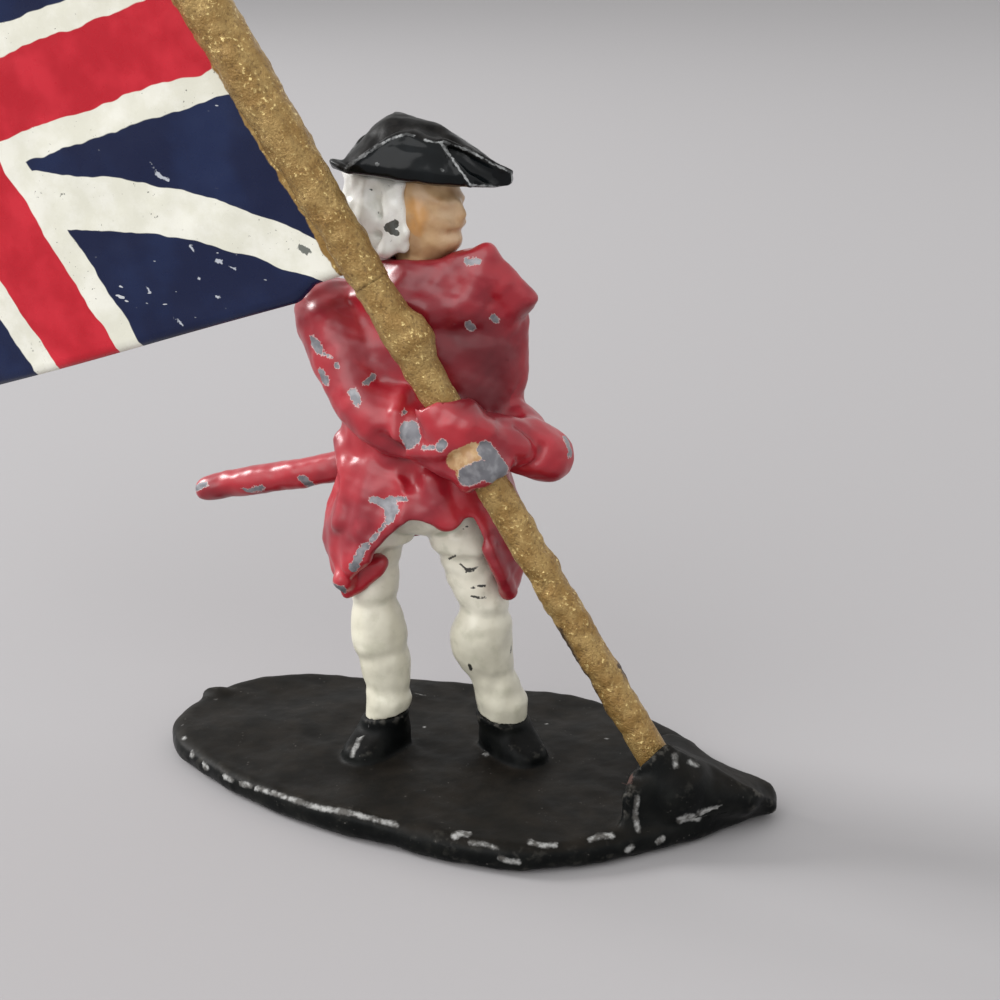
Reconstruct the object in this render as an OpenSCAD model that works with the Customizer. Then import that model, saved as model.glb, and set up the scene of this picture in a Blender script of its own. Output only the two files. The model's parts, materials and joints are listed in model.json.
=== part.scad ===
// Toy soldier: a standard bearer in a red coat, cast in white metal and painted.
// Millimetres. The origin is on the underside of the base, +Z is up, +X runs to the
// pointed tip of the base and the figure faces -Y with its head turned to +X.

/* [Base] */
// Length of the base from the origin to its round end
base_round_len = 29.5; // [27:0.1:40]
// Length of the base from the origin to its pointed tip
base_tip_len = 29.3; // [27:0.1:40]
// Width of the base from its spine to its front edge
base_front_w = 17.2; // [15:0.1:20]
// Width of the base from its spine to its back edge
base_back_w = 14.4; // [13:0.1:20]
// Place of the spine, the line between the base's two ends, across the base
base_spine_y = 1.3; // [0:0.1:2]
// Thickness of the base
base_h = 2.6; // [2:0.1:4]
// Rounding of the upper and lower edges of the base
base_edge = 0.6; // [0.3:0.1:0.9]
// Length of the rock at the tip, in which the pole stands
rock_len = 11.6; // [10:0.1:15]
// Height of the rock above the base
rock_h = 4.8; // [4:0.1:7]

/* [Stance] */
// Distance along the base from the middle of the figure to the foot of the pole
figure_reach = 22.5; // [20:0.1:25]
// Middle of the body across the base, from the origin
figure_y = 0.3; // [-2:0.1:2]
// Distance between the feet along the base
foot_spread = 11.4; // [9:0.1:13]
// How far the left foot stands behind the right one
foot_stagger = 2.9; // [0:0.1:4]
// How far the feet stand to the figure's left of the body's middle
foot_shift = 1.7; // [0:0.1:3]
// Distance between the knees along the base
knee_spread = 9; // [7.5:0.1:10.5]
// Distance between the hip joints along the base
hip_spread = 6; // [5:0.1:7]
// Angle of the right toe from the base's length
right_toe_angle = -110; // [-130:1:-95]
// Angle of the left toe from the base's length
left_toe_angle = -38; // [-70:1:-10]

/* [Legs] */
// Length of a shoe
shoe_len = 7.2; // [6.4:0.1:8]
// Width of a shoe
shoe_w = 4.6; // [4:0.1:5.5]
// Height of a shoe
shoe_h = 3.5; // [2.8:0.1:4.4]
// Height of a gaiter from the ankle to the knee
gaiter_h = 11.5; // [10:0.1:14]
// Diameter of a gaiter at the calf
gaiter_d = 5.7; // [5:0.1:6.5]
// Height of the breeches from the knees to the waist
breeches_h = 13; // [11:0.1:15]
// Diameter of a thigh
thigh_d = 6; // [5.2:0.1:6.8]
// Width of the hips
hip_w = 12.4; // [11:0.1:14]
// Depth of the hips
hip_d = 8.6; // [7.5:0.1:10]
// Diameter of the peg under a shoe
foot_peg_d = 1.8; // [1.4:0.1:2.4]
// Length of the peg under a shoe
foot_peg_len = 1.6; // [1:0.1:1.8]

/* [Coat] */
// Width of the coat at the chest
coat_w = 16.5; // [14.5:0.1:18.5]
// Depth of the coat at the chest
coat_d = 10; // [9:0.1:12]
// Height of the coat from the waist to the neck
coat_h = 16; // [14:0.1:18]
// Width of the coat's skirts at their widest
skirt_w = 19.4; // [17.5:0.1:22]
// Depth of the coat's skirts at their widest
skirt_d = 13.4; // [12:0.1:15]
// Height of the coat's skirts from the waist to the hem
skirt_h = 12.4; // [11:0.1:13.5]
// Thickness of the coat's skirts
skirt_t = 1.4; // [1:0.1:2]
// Height of the short flap between the skirts at the front
flap_h = 4; // [3.4:0.1:4.8]
// Width of the cape collar
collar_w = 13.6; // [12:0.1:15]
// Depth of the cape collar
collar_d = 9.6; // [8.5:0.1:11]
// Height of the cape collar
collar_h = 4.4; // [3.5:0.1:5.5]
// Height of the collar's point above its rim
collar_point_h = 1.2; // [0.6:0.1:2]

/* [Arms] */
// Diameter of a sleeve at the shoulder
sleeve_d = 6.8; // [6:0.1:7.4]
// Diameter of a sleeve at the forearm
forearm_d = 5; // [4.4:0.1:5.6]
// Diameter of the peg that holds an arm on the coat
arm_peg_d = 1.8; // [1.4:0.1:2.4]
// Length of the peg that holds an arm on the coat
arm_peg_len = 6; // [5.5:0.1:7]
// Outer diameter of a fist around the pole
hand_d = 5.2; // [4.8:0.1:6]
// Length of a fist along the pole
hand_len = 3.7; // [3.3:0.1:4.4]
// Distance of the right fist from the pole's foot, along the pole
grip_s = 29.6; // [28:0.1:31]

/* [Head] */
// Length of the head from back to front
head_len = 7.2; // [6.4:0.1:8]
// Width of the head
head_w = 6.4; // [5.6:0.1:7.2]
// Height of the head from the chin to the hat
head_h = 6.8; // [6:0.1:7.6]
// Turn of the head from the base's length
head_turn = -14; // [-30:1:0]
// Diameter of the neck
neck_d = 4.4; // [3.8:0.1:5]
// Height of the chin above the coat
neck_h = 2.2; // [1.8:0.1:2.8]
// Depth of the neck's peg in the coat
neck_peg_len = 2; // [1.4:0.1:3]
// Length of the wig
wig_len = 7; // [6.2:0.1:7.8]
// Width of the wig
wig_w = 8.2; // [7.6:0.1:9]
// Drop of the wig below the hat
wig_h = 7; // [6.2:0.1:7.6]
// Forward tilt of the hat
hat_tilt = 5; // [0:0.5:8]
// Reach of the hat's corners from the middle of the head
hat_corner_r = 8.2; // [7.6:0.1:9]
// Reach of the hat's flaps from the middle of the head
hat_flap_r = 5.2; // [4.8:0.1:5.8]
// Height of the hat
hat_h = 5.5; // [4.8:0.1:6.2]
// Diameter of the peg between the head and the hat
hat_peg_d = 2; // [1.4:0.1:2.6]
// Length of the peg between the head and the hat
hat_peg_len = 1.6; // [1:0.1:2.2]

/* [Scabbard] */
// Length of the scabbard
scabbard_len = 20; // [17:0.5:23]
// Diameter of the scabbard
scabbard_d = 2.9; // [2.4:0.1:3.4]
// Droop of the scabbard from level
scabbard_droop = 15; // [8:1:25]

/* [Flag pole] */
// Diameter of the pole
pole_d = 2.9; // [2.5:0.1:3.3]
// Diameter of the pole's swelling above the fists
pole_swell_d = 3.7; // [3.4:0.1:4.1]
// Length of the pole from its foot to its top
pole_len = 97.3; // [80:0.1:115]
// Lean of the pole across the figure
pole_lean = 30.9; // [29:0.1:33]
// Lean of the pole towards the front
pole_forward_lean = 2.75; // [1.5:0.05:4]
// Depth of the pole's socket in the rock
socket_depth = 3; // [2:0.1:3.8]
// Length of the finial
finial_len = 8; // [6:0.1:11]
// Widest diameter of the finial
finial_d = 4.6; // [4.2:0.1:6]

/* [Flag] */
// Length of the flag away from the pole
flag_fly = 54.2; // [45:0.1:65]
// Thickness of the flag
flag_t = 0.9; // [0.7:0.05:1.4]
// Wall of the sleeve that holds the flag on the pole
flag_sleeve_t = 0.5; // [0.4:0.05:0.7]
// Distance of the flag's lower edge from the pole's foot
flag_foot_s = 47.2; // [45.5:0.1:48]
// Distance of the flag's upper edge from the pole's top
flag_top_gap = 2; // [1:0.1:4]
// Turn of the flag about the pole, from the base's length
flag_turn = 4; // [0:1:6]
// Height of the flag's waves
flag_wave = 0.8; // [0.3:0.1:1.5]

/* [Fits] */
// Gap at the seat between two castings
seat_gap = 0.05; // [0.03:0.01:0.1]
// Running clearance of the pole in the fists and the rock, on the radius
run_gap = 0.06; // [0.03:0.01:0.1]
// Clear distance between the pole and what it passes
pass_gap = 0.35; // [0.3:0.05:0.5]

/* [Hidden] */
$fn = 48;

// Sides of the rings that the castings are skinned over
ring_sides = 20;
// Overrun of every cut past the face that it leaves
over = 1;
coat_red = "#a3162c";
cream = "#ddd8c4";
gloss_black = "#1d1b1a";
gold = "#9a7430";
flesh = "#b98a57";
navy = "#1c2a5a";

// The pole's foot stands on the rock, and the figure stands back from it
pole_foot_share = 0.14;
pole_foot_x = base_tip_len - rock_len + rock_len * pole_foot_share;
figure_x = pole_foot_x - figure_reach;

// Levels of the figure, one seat above the other
sole_z = base_h;
ankle_z = sole_z + shoe_h;
knee_z = ankle_z + gaiter_h;
waist_z = knee_z + breeches_h;
collar_z = waist_z + coat_h;
chin_z = collar_z + neck_h;
hat_z = chin_z + head_h;

// Places of the joints of the legs, right leg first
feet = [for (side = [-1, 1])
    [figure_x + foot_shift + side * foot_spread / 2, figure_y + side * foot_stagger / 2]];
knee_stagger_share = 0.35;
knees = [for (side = [-1, 1])
    [figure_x + side * knee_spread / 2, figure_y + side * foot_stagger * knee_stagger_share / 2]];
hips = [for (side = [-1, 1]) [figure_x + side * hip_spread / 2, figure_y]];
toe_angles = [right_toe_angle, left_toe_angle];

// The pole's axis passes in front of the chest and down to the rock
chest_z_share = 0.6;
chest_z = waist_z + coat_h * chest_z_share;
pole_foot_z = base_h + rock_h;
pole_chest_y = figure_y - coat_d / 2 - pass_gap - pole_swell_d / 2;
pole_foot = [
    pole_foot_x,
    pole_chest_y + (chest_z - pole_foot_z) * tan(pole_forward_lean) / cos(pole_lean),
    pole_foot_z
];
pole_dir = [
    -sin(pole_lean) * cos(pole_forward_lean), -sin(pole_forward_lean), cos(pole_lean) * cos(pole_forward_lean)
];
left_grip_s = grip_s + hand_len;

// The flag fills the pole from its lower edge to just below the pole's top
flag_hoist = pole_len - flag_foot_s - flag_top_gap;
sleeve_r = pole_d / 2 + flag_sleeve_t;

// Places of the joints of the arms
coat_size = [coat_w, coat_d, coat_h];
coat_at = [figure_x, figure_y, waist_z];
right_shoulder_shares = [-0.5, -0.08, 0.79];
right_elbow_shares = [-0.21, -0.46, 0.36];
left_shoulder_shares = [0.37, 0.12, 0.8];
left_bend_shares = [0.37, 0.1, 0.3];
left_elbow_shares = [0.685, -0.16, 0.135];
right_shoulder = coat_at + by(right_shoulder_shares, coat_size);
right_elbow = coat_at + by(right_elbow_shares, coat_size);
left_shoulder = coat_at + by(left_shoulder_shares, coat_size);
left_bend = coat_at + by(left_bend_shares, coat_size);
left_elbow = coat_at + by(left_elbow_shares, coat_size);
right_grip = pole_foot + pole_dir * grip_s;
left_grip = pole_foot + pole_dir * left_grip_s;

// Shares of the castings: middle along X, Y and Z, then half width and half depth
coat_shares = [
    [0, 0, 0, 0.44, 0.48], [0, 0, 0.2, 0.46, 0.49], [0, 0, 0.45, 0.49, 0.5],
    [0, 0, 0.7, 0.49, 0.48], [0, 0.02, 0.84, 0.45, 0.4], [0.01, 0.04, 0.95, 0.35, 0.32],
    [0.02, 0.05, 1, 0.26, 0.26]
];
skirt_shares = [
    [0, 0, -1, 0.41, 0.48], [0, 0, -0.84, 0.46, 0.5], [0, 0, -0.62, 0.5, 0.5],
    [0, 0, -0.35, 0.47, 0.48], [0, 0, -0.14, 0.42, 0.43], [0, 0, 0, 0.4, 0.4]
];
hip_shares = [
    [0, 0, -0.48, 0.3, 0.3], [0, 0, -0.4, 0.42, 0.42], [0, 0, -0.2, 0.47, 0.48], [0, 0, 0, 0.46, 0.46]
];
head_shares = [
    [0.14, 0, 0, 0.2, 0.24], [0.1, 0, 0.15, 0.34, 0.38], [0.05, 0, 0.38, 0.44, 0.48],
    [0.03, 0, 0.62, 0.47, 0.5], [0.02, 0, 1.1, 0.46, 0.5]
];
wig_shares = [
    [-0.04, 0, -1, 0.24, 0.34], [0, 0, -0.82, 0.4, 0.45], [0, 0, -0.5, 0.47, 0.5],
    [0.02, 0, -0.2, 0.49, 0.5], [0.04, 0, 0.14, 0.47, 0.48]
];
// Shares of the nose: forward along the head, half width, height on the head
nose_shares = [[0.42, 0.1, 0.66], [0.56, 0.12, 0.42], [0.6, 0.09, 0.38], [0.44, 0.06, 0.33]];
// Shares of the hat: height, reach of the flaps, reach of the corners, shift to the back
hat_shares = [
    [0, 0.8, 0.56, 0], [0.08, 1, 0.98, 0], [0.24, 1.02, 1, 0], [0.5, 0.96, 0.76, 0.04],
    [0.76, 0.76, 0.54, 0.16], [0.93, 0.46, 0.32, 0.3], [1, 0.2, 0.14, 0.36]
];
hat_corner_angles = [0, 138, -138];
corner_sharpness = 7;
// Shares of a leg: distance down it, radius
thigh_shares = [[0.3, 0.8], [0.6, 1], [0.85, 0.93], [1, 0.87]];
gaiter_shares = [[0, 0.91], [0.14, 0.86], [0.36, 1], [0.62, 0.9], [0.9, 0.76], [1, 0.8]];
// Shares of a shoe: distance along it, half width, height
shoe_shares = [
    [-0.36, 0.3, 0.8], [-0.28, 0.44, 1], [0.04, 0.47, 1], [0.3, 0.47, 0.62],
    [0.52, 0.39, 0.42], [0.64, 0.2, 0.3]
];
shoe_side_share = 0.5;
shoe_top_share = 0.7;
// Shares of the rock: distance along it, height, ridge from the spine to the pole, half width of the ridge
rock_shares = [
    [0, 0.78, 1, 0.7], [0.14, 0.98, 0.95, 0.75], [0.3, 0.96, 0.8, 0.7], [0.5, 0.68, 0.52, 0.5],
    [0.8, 0.27, 0.2, 0.3], [0.95, 0.06, 0.05, 0.1]
];
rock_front_share = 0.9;
rock_back_share = 0.45;
rock_shoulder_share = 0.8;
rock_bulge_share = 0.72;
// Shares of the opening below the flap: along the skirts' width, then down the skirts or down the flap
right_tail_shares = [[-0.34, 1.2], [-0.32, 0.94], [-0.256, 0.76], [-0.172, 0.61], [-0.075, 0.44]];
flap_edge_shares = [[0, 1], [0.065, 0.94], [0.132, 0.96], [0.205, 1.03], [0.258, 0.95], [0.296, 0.88]];
left_tail_shares = [[0.332, 0.39], [0.381, 0.58], [0.413, 0.75], [0.42, 1.2]];
// Shares of the vent at the back of the skirts, along their width and down them
vent_shares = [[-0.27, 1.2], [-0.24, 0.8], [-0.19, 0.74], [0.19, 0.74], [0.24, 0.8], [0.27, 1.2]];
// Shares of an arm: stations from joint to joint, then the radius at each station
arm_stations_shares = [-0.36, -0.2, 0, 0.5, 1, 1.25];
forearm_stations_shares = [-0.3, -0.12, 0.1, 0.6, 1];
right_arm_shares = [0.45, 0.86, 1, 0.94, 0.82, 0.45];
right_forearm_shares = [0.5, 0.98, 1.1, 0.96, 0.78];
left_arm_shares = [0.4, 0.76, 0.9, 0.86, 0.72, 0.4];
left_bend_r_shares = [0.6, 0.9, 0.96, 0.94, 0.6];
left_forearm_shares = [0.6, 0.9, 0.96, 0.92, 0.84];
knuckle_share = 0.6;
// How far outside the shoulder's middle an arm's peg starts, as a share of the sleeve
arm_peg_out_share = 0.36;
// Shares of the collar: height, reach, the point's height, the shoulder wing's reach, the point's reach
collar_shares = [
    [-0.1, 0.42, 0, 0.1, 0], [0.2, 0.5, 0, 0.23, 0], [0.5, 0.43, 0.2, 0.16, 0.08],
    [0.86, 0.34, 0.8, 0.04, 0.2], [1, 0.29, 1, 0, 0.22]
];
collar_point_angle = -24;
nose_root_share = 0.3;
// How far the head reaches ahead of the neck, as a share of its length
head_ahead_share = 0.08;
// How far the wig's middle lies behind the head's, as a share of its length
wig_back_share = 0.6;
hat_sides = 48;
// Turn of the scabbard towards the back
scabbard_out_angle = 4;
scabbard_root_shares = [-0.3, 0.26, -0.12];
scabbard_at = coat_at + by(scabbard_root_shares, [skirt_w, skirt_d, skirt_h]);
scabbard_shares = [[0, 1], [0.5, 1], [0.9, 0.92], [0.975, 0.7], [1, 0.35]];
// Diameter and length of the pole's spigot in the finial
spigot_d_share = 0.3;
spigot_len_share = 0.28;
spigot_d = finial_d * spigot_d_share;
spigot_len = finial_len * spigot_len_share;
// Shares of the pole's swelling: distance from the fists to the flag, thickening
swell_shares = [[0, 0], [0.2, 0.7], [0.45, 1], [0.7, 0.8], [0.9, 0.2], [1, 0]];
// Shares of the finial: height, radius
finial_shares = [
    [0, 0.62], [0.1, 0.62], [0.16, 0.5], [0.3, 0.92], [0.38, 1], [0.7, 0.55], [0.96, 0.14], [1, 0]
];
// Powers of the curves that run to the round end and to the tip of the base, at its front and its back
front_powers = [1.9, 1.7];
back_powers = [2.6, 2];
// Where the front and the back of the base are widest, as shares of the length to the tip
front_peak_share = 0.3;
back_peak_share = 0.17;
// Shares of the beak behind the rock: distance to the tip, width of the base's back
beak_shares = [[0.67, 1.1], [0.7, 0.6], [0.775, 0.24], [1, 0]];
base_steps = 40;
flag_stations = 18;
flag_waves = 1.5;
// Rise of the flag along the pole for each length away from it
flag_rise_share = 0.23;

function by(a, b) = [a[0] * b[0], a[1] * b[1], a[2] * b[2]];
function unit(v) = v / norm(v);
function mix(a, b, t) = a + (b - a) * t;
function mean(points) = ([for (p = points) 1] * points) / len(points);

// A level oval ring about a point
function oval(at, rx, ry) = [for (i = [0 : ring_sides - 1])
    let (a = 360 * i / ring_sides) at + [rx * cos(a), ry * sin(a), 0]];

// A round ring about a point, square to a direction
function hoop(at, dir, r) = let (u = unit(cross([0, 1, 0], dir)), v = cross(dir, u))
    [for (i = [0 : ring_sides - 1]) let (a = 360 * i / ring_sides) at + r * (u * cos(a) + v * sin(a))];

// Points along an arm or a forearm, from joint to joint
function arm_stations(from, to) = [for (k = arm_stations_shares) mix(from, to, k)];
function forearm_stations(from, to) = [for (k = forearm_stations_shares) mix(from, to, k)];

// Points across the skirts and down from the waist
function skirt_points(shares, drop) = [for (p = shares) [p[0] * skirt_w, -p[1] * drop]];

// Width of the base beside its spine at a distance along it: round to one end, pointed to the other
function side_w(x, peak, w, powers) = x < peak
    ? w * pow(max(0, 1 - pow((peak - x) / (peak + base_round_len), powers[0])), 1 / powers[0])
    : w * (1 - pow((x - peak) / (base_tip_len - peak), powers[1]));
function base_front(x) = base_spine_y
    - side_w(x, base_tip_len * front_peak_share, base_front_w, front_powers);
function base_back(x) = base_spine_y + min(base_back_w * lookup(x / base_tip_len, beak_shares),
    side_w(x, base_tip_len * back_peak_share, base_back_w, back_powers));

// A closed solid over rings of equal point counts, turning to the left along their row
module skin(rings) {
    n = len(rings[0]);
    m = len(rings);
    points = concat([for (r = rings) each r], [mean(rings[0]), mean(rings[m - 1])]);
    walls = [for (k = [0 : m - 2], i = [0 : n - 1])
        let (a = k * n + i, b = k * n + (i + 1) % n)
        each [[a, a + n, b + n], [a, b + n, b]]];
    low_cap = [for (i = [0 : n - 1]) [m * n, i, (i + 1) % n]];
    top = (m - 1) * n;
    high_cap = [for (i = [0 : n - 1]) [m * n + 1, top + (i + 1) % n, top + i]];
    polyhedron(points, concat(walls, low_cap, high_cap));
}

// A casting with level oval rings, grown all round by the gap that its neighbour keeps
module loft(shares, size, at, grow = 0) {
    last = len(shares) - 1;
    skin([for (k = [0 : last])
        let (r = shares[k], lift = k == 0 ? -grow : k == last ? grow : 0)
        oval(at + [r[0] * size[0], r[1] * size[1], r[2] * size[2] + lift],
            r[3] * size[0] + grow, r[4] * size[1] + grow)]);
}

// A round limb along a path of points, with a radius at each
module limb(path, radii, grow = 0) {
    last = len(path) - 1;
    skin([for (k = [0 : last])
        hoop(path[k], unit(path[min(k + 1, last)] - path[max(k - 1, 0)]), radii[k] + grow)]);
}

// Places its children on the pole, at a distance from the pole's foot
module on_pole(s = 0) {
    translate(pole_foot)
        rotate([pole_forward_lean, -pole_lean, 0])
            translate([0, 0, s])
                children();
}

// The room that the pole and the flag's sleeve need all along their run
module pole_way() {
    on_pole()
        cylinder(r = pole_swell_d / 2 + pass_gap, h = flag_foot_s);
    on_pole(flag_foot_s - pass_gap)
        cylinder(r = sleeve_r + pass_gap, h = flag_hoist);
}

// The room that the two fists need on the pole
module grip_way() {
    on_pole(grip_s - hand_len)
        cylinder(r = hand_d / 2 + seat_gap, h = 3 * hand_len);
}

// The head's place above the neck, turned to the figure's left
module head_frame(at_z) {
    translate([figure_x, figure_y, at_z])
        rotate([0, 0, head_turn])
            translate([head_len * head_ahead_share, 0, 0])
                children();
}

// The hat's seat, tilted over the head
module hat_frame() {
    head_frame(hat_z)
        rotate([0, hat_tilt, 0])
            children();
}

// The room that the hat takes above its seat
module hat_room() {
    hat_frame()
        cylinder(r = hat_corner_r, h = hat_h);
}

module coat_form(grow = 0) {
    loft(coat_shares, coat_size, coat_at, grow);
}

// The collar is oval, with a raised point at the front and a wing on the left shoulder
module collar_form(grow = 0) {
    last = len(collar_shares) - 1;
    translate([figure_x, figure_y, chin_z - collar_h])
        skin([for (k = [0 : last])
            let (r = collar_shares[k], lift = k == 0 ? -grow : k == last ? grow : 0)
            [for (i = [0 : ring_sides - 1])
                let (a = 360 * i / ring_sides,
                    tip = pow(max(0, cos(a - collar_point_angle)), corner_sharpness),
                    wing = pow(max(0, cos(a)), corner_sharpness),
                    reach = r[1] + r[4] * tip)
                [(collar_w * reach + grow) * cos(a) + collar_w * r[3] * wing,
                    (collar_d * reach + grow) * sin(a),
                    collar_h * r[0] + collar_point_h * r[2] * tip + lift]]]);
}

module skirt_form(grow = 0) {
    loft(skirt_shares, [skirt_w, skirt_d, skirt_h], coat_at, grow);
}

module thigh_form(side, grow = 0) {
    skin([for (k = [0 : len(thigh_shares) - 1])
        let (share = thigh_shares[len(thigh_shares) - 1 - k], p = mix(hips[side], knees[side], share[0]))
        oval([p[0], p[1], mix(waist_z, knee_z, share[0])],
            share[1] * thigh_d / 2 + grow, share[1] * thigh_d / 2 + grow)]);
}

module gaiter_form(side, grow = 0) {
    skin([for (k = [0 : len(gaiter_shares) - 1])
        let (share = gaiter_shares[len(gaiter_shares) - 1 - k], p = mix(knees[side], feet[side], share[0]))
        oval([p[0], p[1], mix(knee_z, ankle_z, share[0])],
            share[1] * gaiter_d / 2 + grow, share[1] * gaiter_d / 2 + grow)]);
}

module breeches_form(grow = 0) {
    loft(hip_shares, [hip_w, hip_d, breeches_h], coat_at, grow);
    for (side = [0, 1])
        thigh_form(side, grow);
}

module head_form(grow = 0) {
    head_frame(chin_z)
        loft(head_shares, [head_len, head_w, head_h], [0, 0, 0], grow);
}

module wig_form(grow = 0) {
    head_frame(hat_z)
        loft(wig_shares, [wig_len, wig_w, wig_h], [-wig_len * wig_back_share, 0, 0], grow);
}

module neck(grow = 0) {
    translate([figure_x, figure_y, collar_z - neck_peg_len - grow])
        cylinder(d = neck_d + 2 * grow, h = neck_peg_len + neck_h + head_h / 2);
}

// A round peg from an arm's shoulder into the coat
module arm_peg(shoulder, side, grow = 0) {
    translate(shoulder + [side * sleeve_d * arm_peg_out_share, 0, 0])
        rotate([0, -side * 90, 0])
            cylinder(d = arm_peg_d + 2 * grow, h = arm_peg_len + grow);
}

module foot_peg(side, grow = 0) {
    translate([feet[side][0], feet[side][1], sole_z - foot_peg_len - grow])
        cylinder(d = foot_peg_d + 2 * grow, h = foot_peg_len + shoe_h / 2);
}

module base_plate() {
    len_x = base_round_len + base_tip_len;
    xs = [for (i = [0 : base_steps]) len_x * (1 - cos(180 * i / base_steps)) / 2 - base_round_len];
    outline = concat([for (x = xs) [x, base_front(x)]],
        [for (i = [base_steps - 1 : -1 : 1]) [xs[i], base_back(xs[i])]]);
    levels = [[0, base_edge], [base_edge, 0], [base_h - base_edge, 0], [base_h, base_edge]];
    color(gloss_black) difference() {
        skin([for (level = levels)
            let (inset = 1 - level[1] / base_back_w)
            [for (p = outline) [p[0] * inset, mix(base_spine_y, p[1], inset), level[0]]]]);
        for (side = [0, 1])
            foot_peg(side, seat_gap);
    }
}

// Across the base the rock rises from the front edge to a flat ridge and drops behind it
module pole_rock() {
    color(gloss_black) difference() {
        skin([for (r = rock_shares)
            let (x = base_tip_len - rock_len * (1 - r[0]),
                h = rock_h * r[1],
                ridge = mix(base_spine_y, pole_foot[1], r[2]),
                flat = pole_d * r[3],
                front = mix(base_spine_y, base_front(x), rock_front_share),
                back = mix(ridge + flat, base_back(x), rock_back_share),
                shoulder = base_h + h * rock_shoulder_share)
            [[x, back, base_h], [x, mix(ridge + flat, back, rock_bulge_share), shoulder],
                [x, ridge + flat, base_h + h], [x, ridge - flat, base_h + h],
                [x, mix(ridge - flat, front, rock_bulge_share), shoulder], [x, front, base_h]]]);
        on_pole(-socket_depth)
            cylinder(d = pole_d + 2 * run_gap, h = socket_depth + rock_h);
    }
}

module shoe(side) {
    color(gloss_black) union() {
        translate([feet[side][0], feet[side][1], sole_z])
            rotate([0, 0, toe_angles[side]])
                skin([for (r = shoe_shares)
                    let (x = r[0] * shoe_len, w = r[1] * shoe_w, h = r[2] * shoe_h)
                    [[x, w, 0], [x, w, h * shoe_side_share], [x, w * shoe_top_share, h],
                        [x, -w * shoe_top_share, h], [x, -w, h * shoe_side_share], [x, -w, 0]]]);
        foot_peg(side);
    }
}

module right_shoe() { shoe(0); }

module left_shoe() { shoe(1); }

module right_gaiter() { color(cream) gaiter_form(0); }

module left_gaiter() { color(cream) gaiter_form(1); }

module breeches() { color(cream) breeches_form(); }

module skirts() {
    difference() {
        skirt_form();
        loft(skirt_shares, [skirt_w - 2 * skirt_t, skirt_d - 2 * skirt_t, skirt_h + 2 * over],
                coat_at + [0, 0, over]);
        breeches_form(seat_gap);
        for (side = [0, 1])
            gaiter_form(side, seat_gap);
        translate([figure_x, figure_y, waist_z])
            rotate([90, 0, 0])
                linear_extrude(skirt_d)
                    polygon(concat(skirt_points(right_tail_shares, skirt_h),
                        skirt_points(flap_edge_shares, flap_h), skirt_points(left_tail_shares, skirt_h)));
        translate([figure_x, figure_y + skirt_d, waist_z])
            rotate([90, 0, 0])
                linear_extrude(skirt_d)
                    polygon(skirt_points(vent_shares, skirt_h));
    }
}

// Half of the room to one side of the body's middle
module half_room(side) {
    translate([figure_x + side * skirt_w, figure_y, waist_z])
        cube(2 * skirt_w, center = true);
}

module right_coat_skirt() {
    color(coat_red) intersection() {
        skirts();
        half_room(-1);
    }
}

module left_coat_skirt() {
    color(coat_red) intersection() {
        skirts();
        half_room(1);
    }
}

module coat_body() {
    color(coat_red) difference() {
        coat_form();
        neck(seat_gap);
        arm_peg(right_shoulder, -1, seat_gap);
        arm_peg(left_shoulder, 1, seat_gap);
        pole_way();
    }
}

module right_sleeve() {
    r = sleeve_d / 2;
    f = forearm_d / 2;
    color(coat_red) union() {
        difference() {
            union() {
                limb(arm_stations(right_shoulder, right_elbow), right_arm_shares * r);
                limb(forearm_stations(right_elbow, right_grip), right_forearm_shares * f);
            }
            coat_form(seat_gap);
            collar_form(seat_gap);
            grip_way();
            pole_way();
        }
        arm_peg(right_shoulder, -1);
    }
}

module left_sleeve() {
    r = sleeve_d / 2;
    f = forearm_d / 2;
    color(coat_red) union() {
        difference() {
            union() {
                limb(arm_stations(left_shoulder, left_bend), left_arm_shares * r);
                limb(forearm_stations(left_bend, left_elbow), left_bend_r_shares * f);
                limb(forearm_stations(left_elbow, left_grip), left_forearm_shares * f);
            }
            coat_form(seat_gap);
            collar_form(seat_gap);
            grip_way();
            pole_way();
        }
        arm_peg(left_shoulder, 1);
    }
}

// A fist: a rounded ring about the pole
module hand(s) {
    inner = pole_d / 2 + run_gap;
    outer = hand_d / 2;
    knuckle = (outer - inner) * knuckle_share;
    color(flesh)
        on_pole(s - hand_len / 2)
            rotate_extrude()
                polygon([[inner, 0], [outer - knuckle, 0], [outer, knuckle], [outer, hand_len - knuckle],
                    [outer - knuckle, hand_len], [inner, hand_len]]);
}

module right_hand() { hand(grip_s); }

module left_hand() { hand(left_grip_s); }

module cape_collar() {
    color(coat_red) difference() {
        collar_form();
        coat_form(seat_gap);
        neck(seat_gap);
        head_form(seat_gap);
        wig_form(seat_gap);
        pole_way();
    }
}

module head() {
    color(flesh) union() {
        difference() {
            union() {
                head_form();
                neck();
            }
            hat_room();
        }
        head_frame(chin_z)
            skin([for (k = [len(nose_shares) - 1 : -1 : 0])
                let (r = nose_shares[k], x = r[0] * head_len, w = r[1] * head_w, z = r[2] * head_h,
                    root = head_len * nose_root_share)
                [[root, w, z], [root, -w, z], [x, 0, z]]]);
        hat_frame()
            translate([0, 0, -over])
                cylinder(d = hat_peg_d, h = over + hat_peg_len);
    }
}

module wig() {
    color(cream) difference() {
        wig_form();
        hat_room();
        head_form(seat_gap);
        neck(seat_gap);
        pole_way();
    }
}

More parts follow.
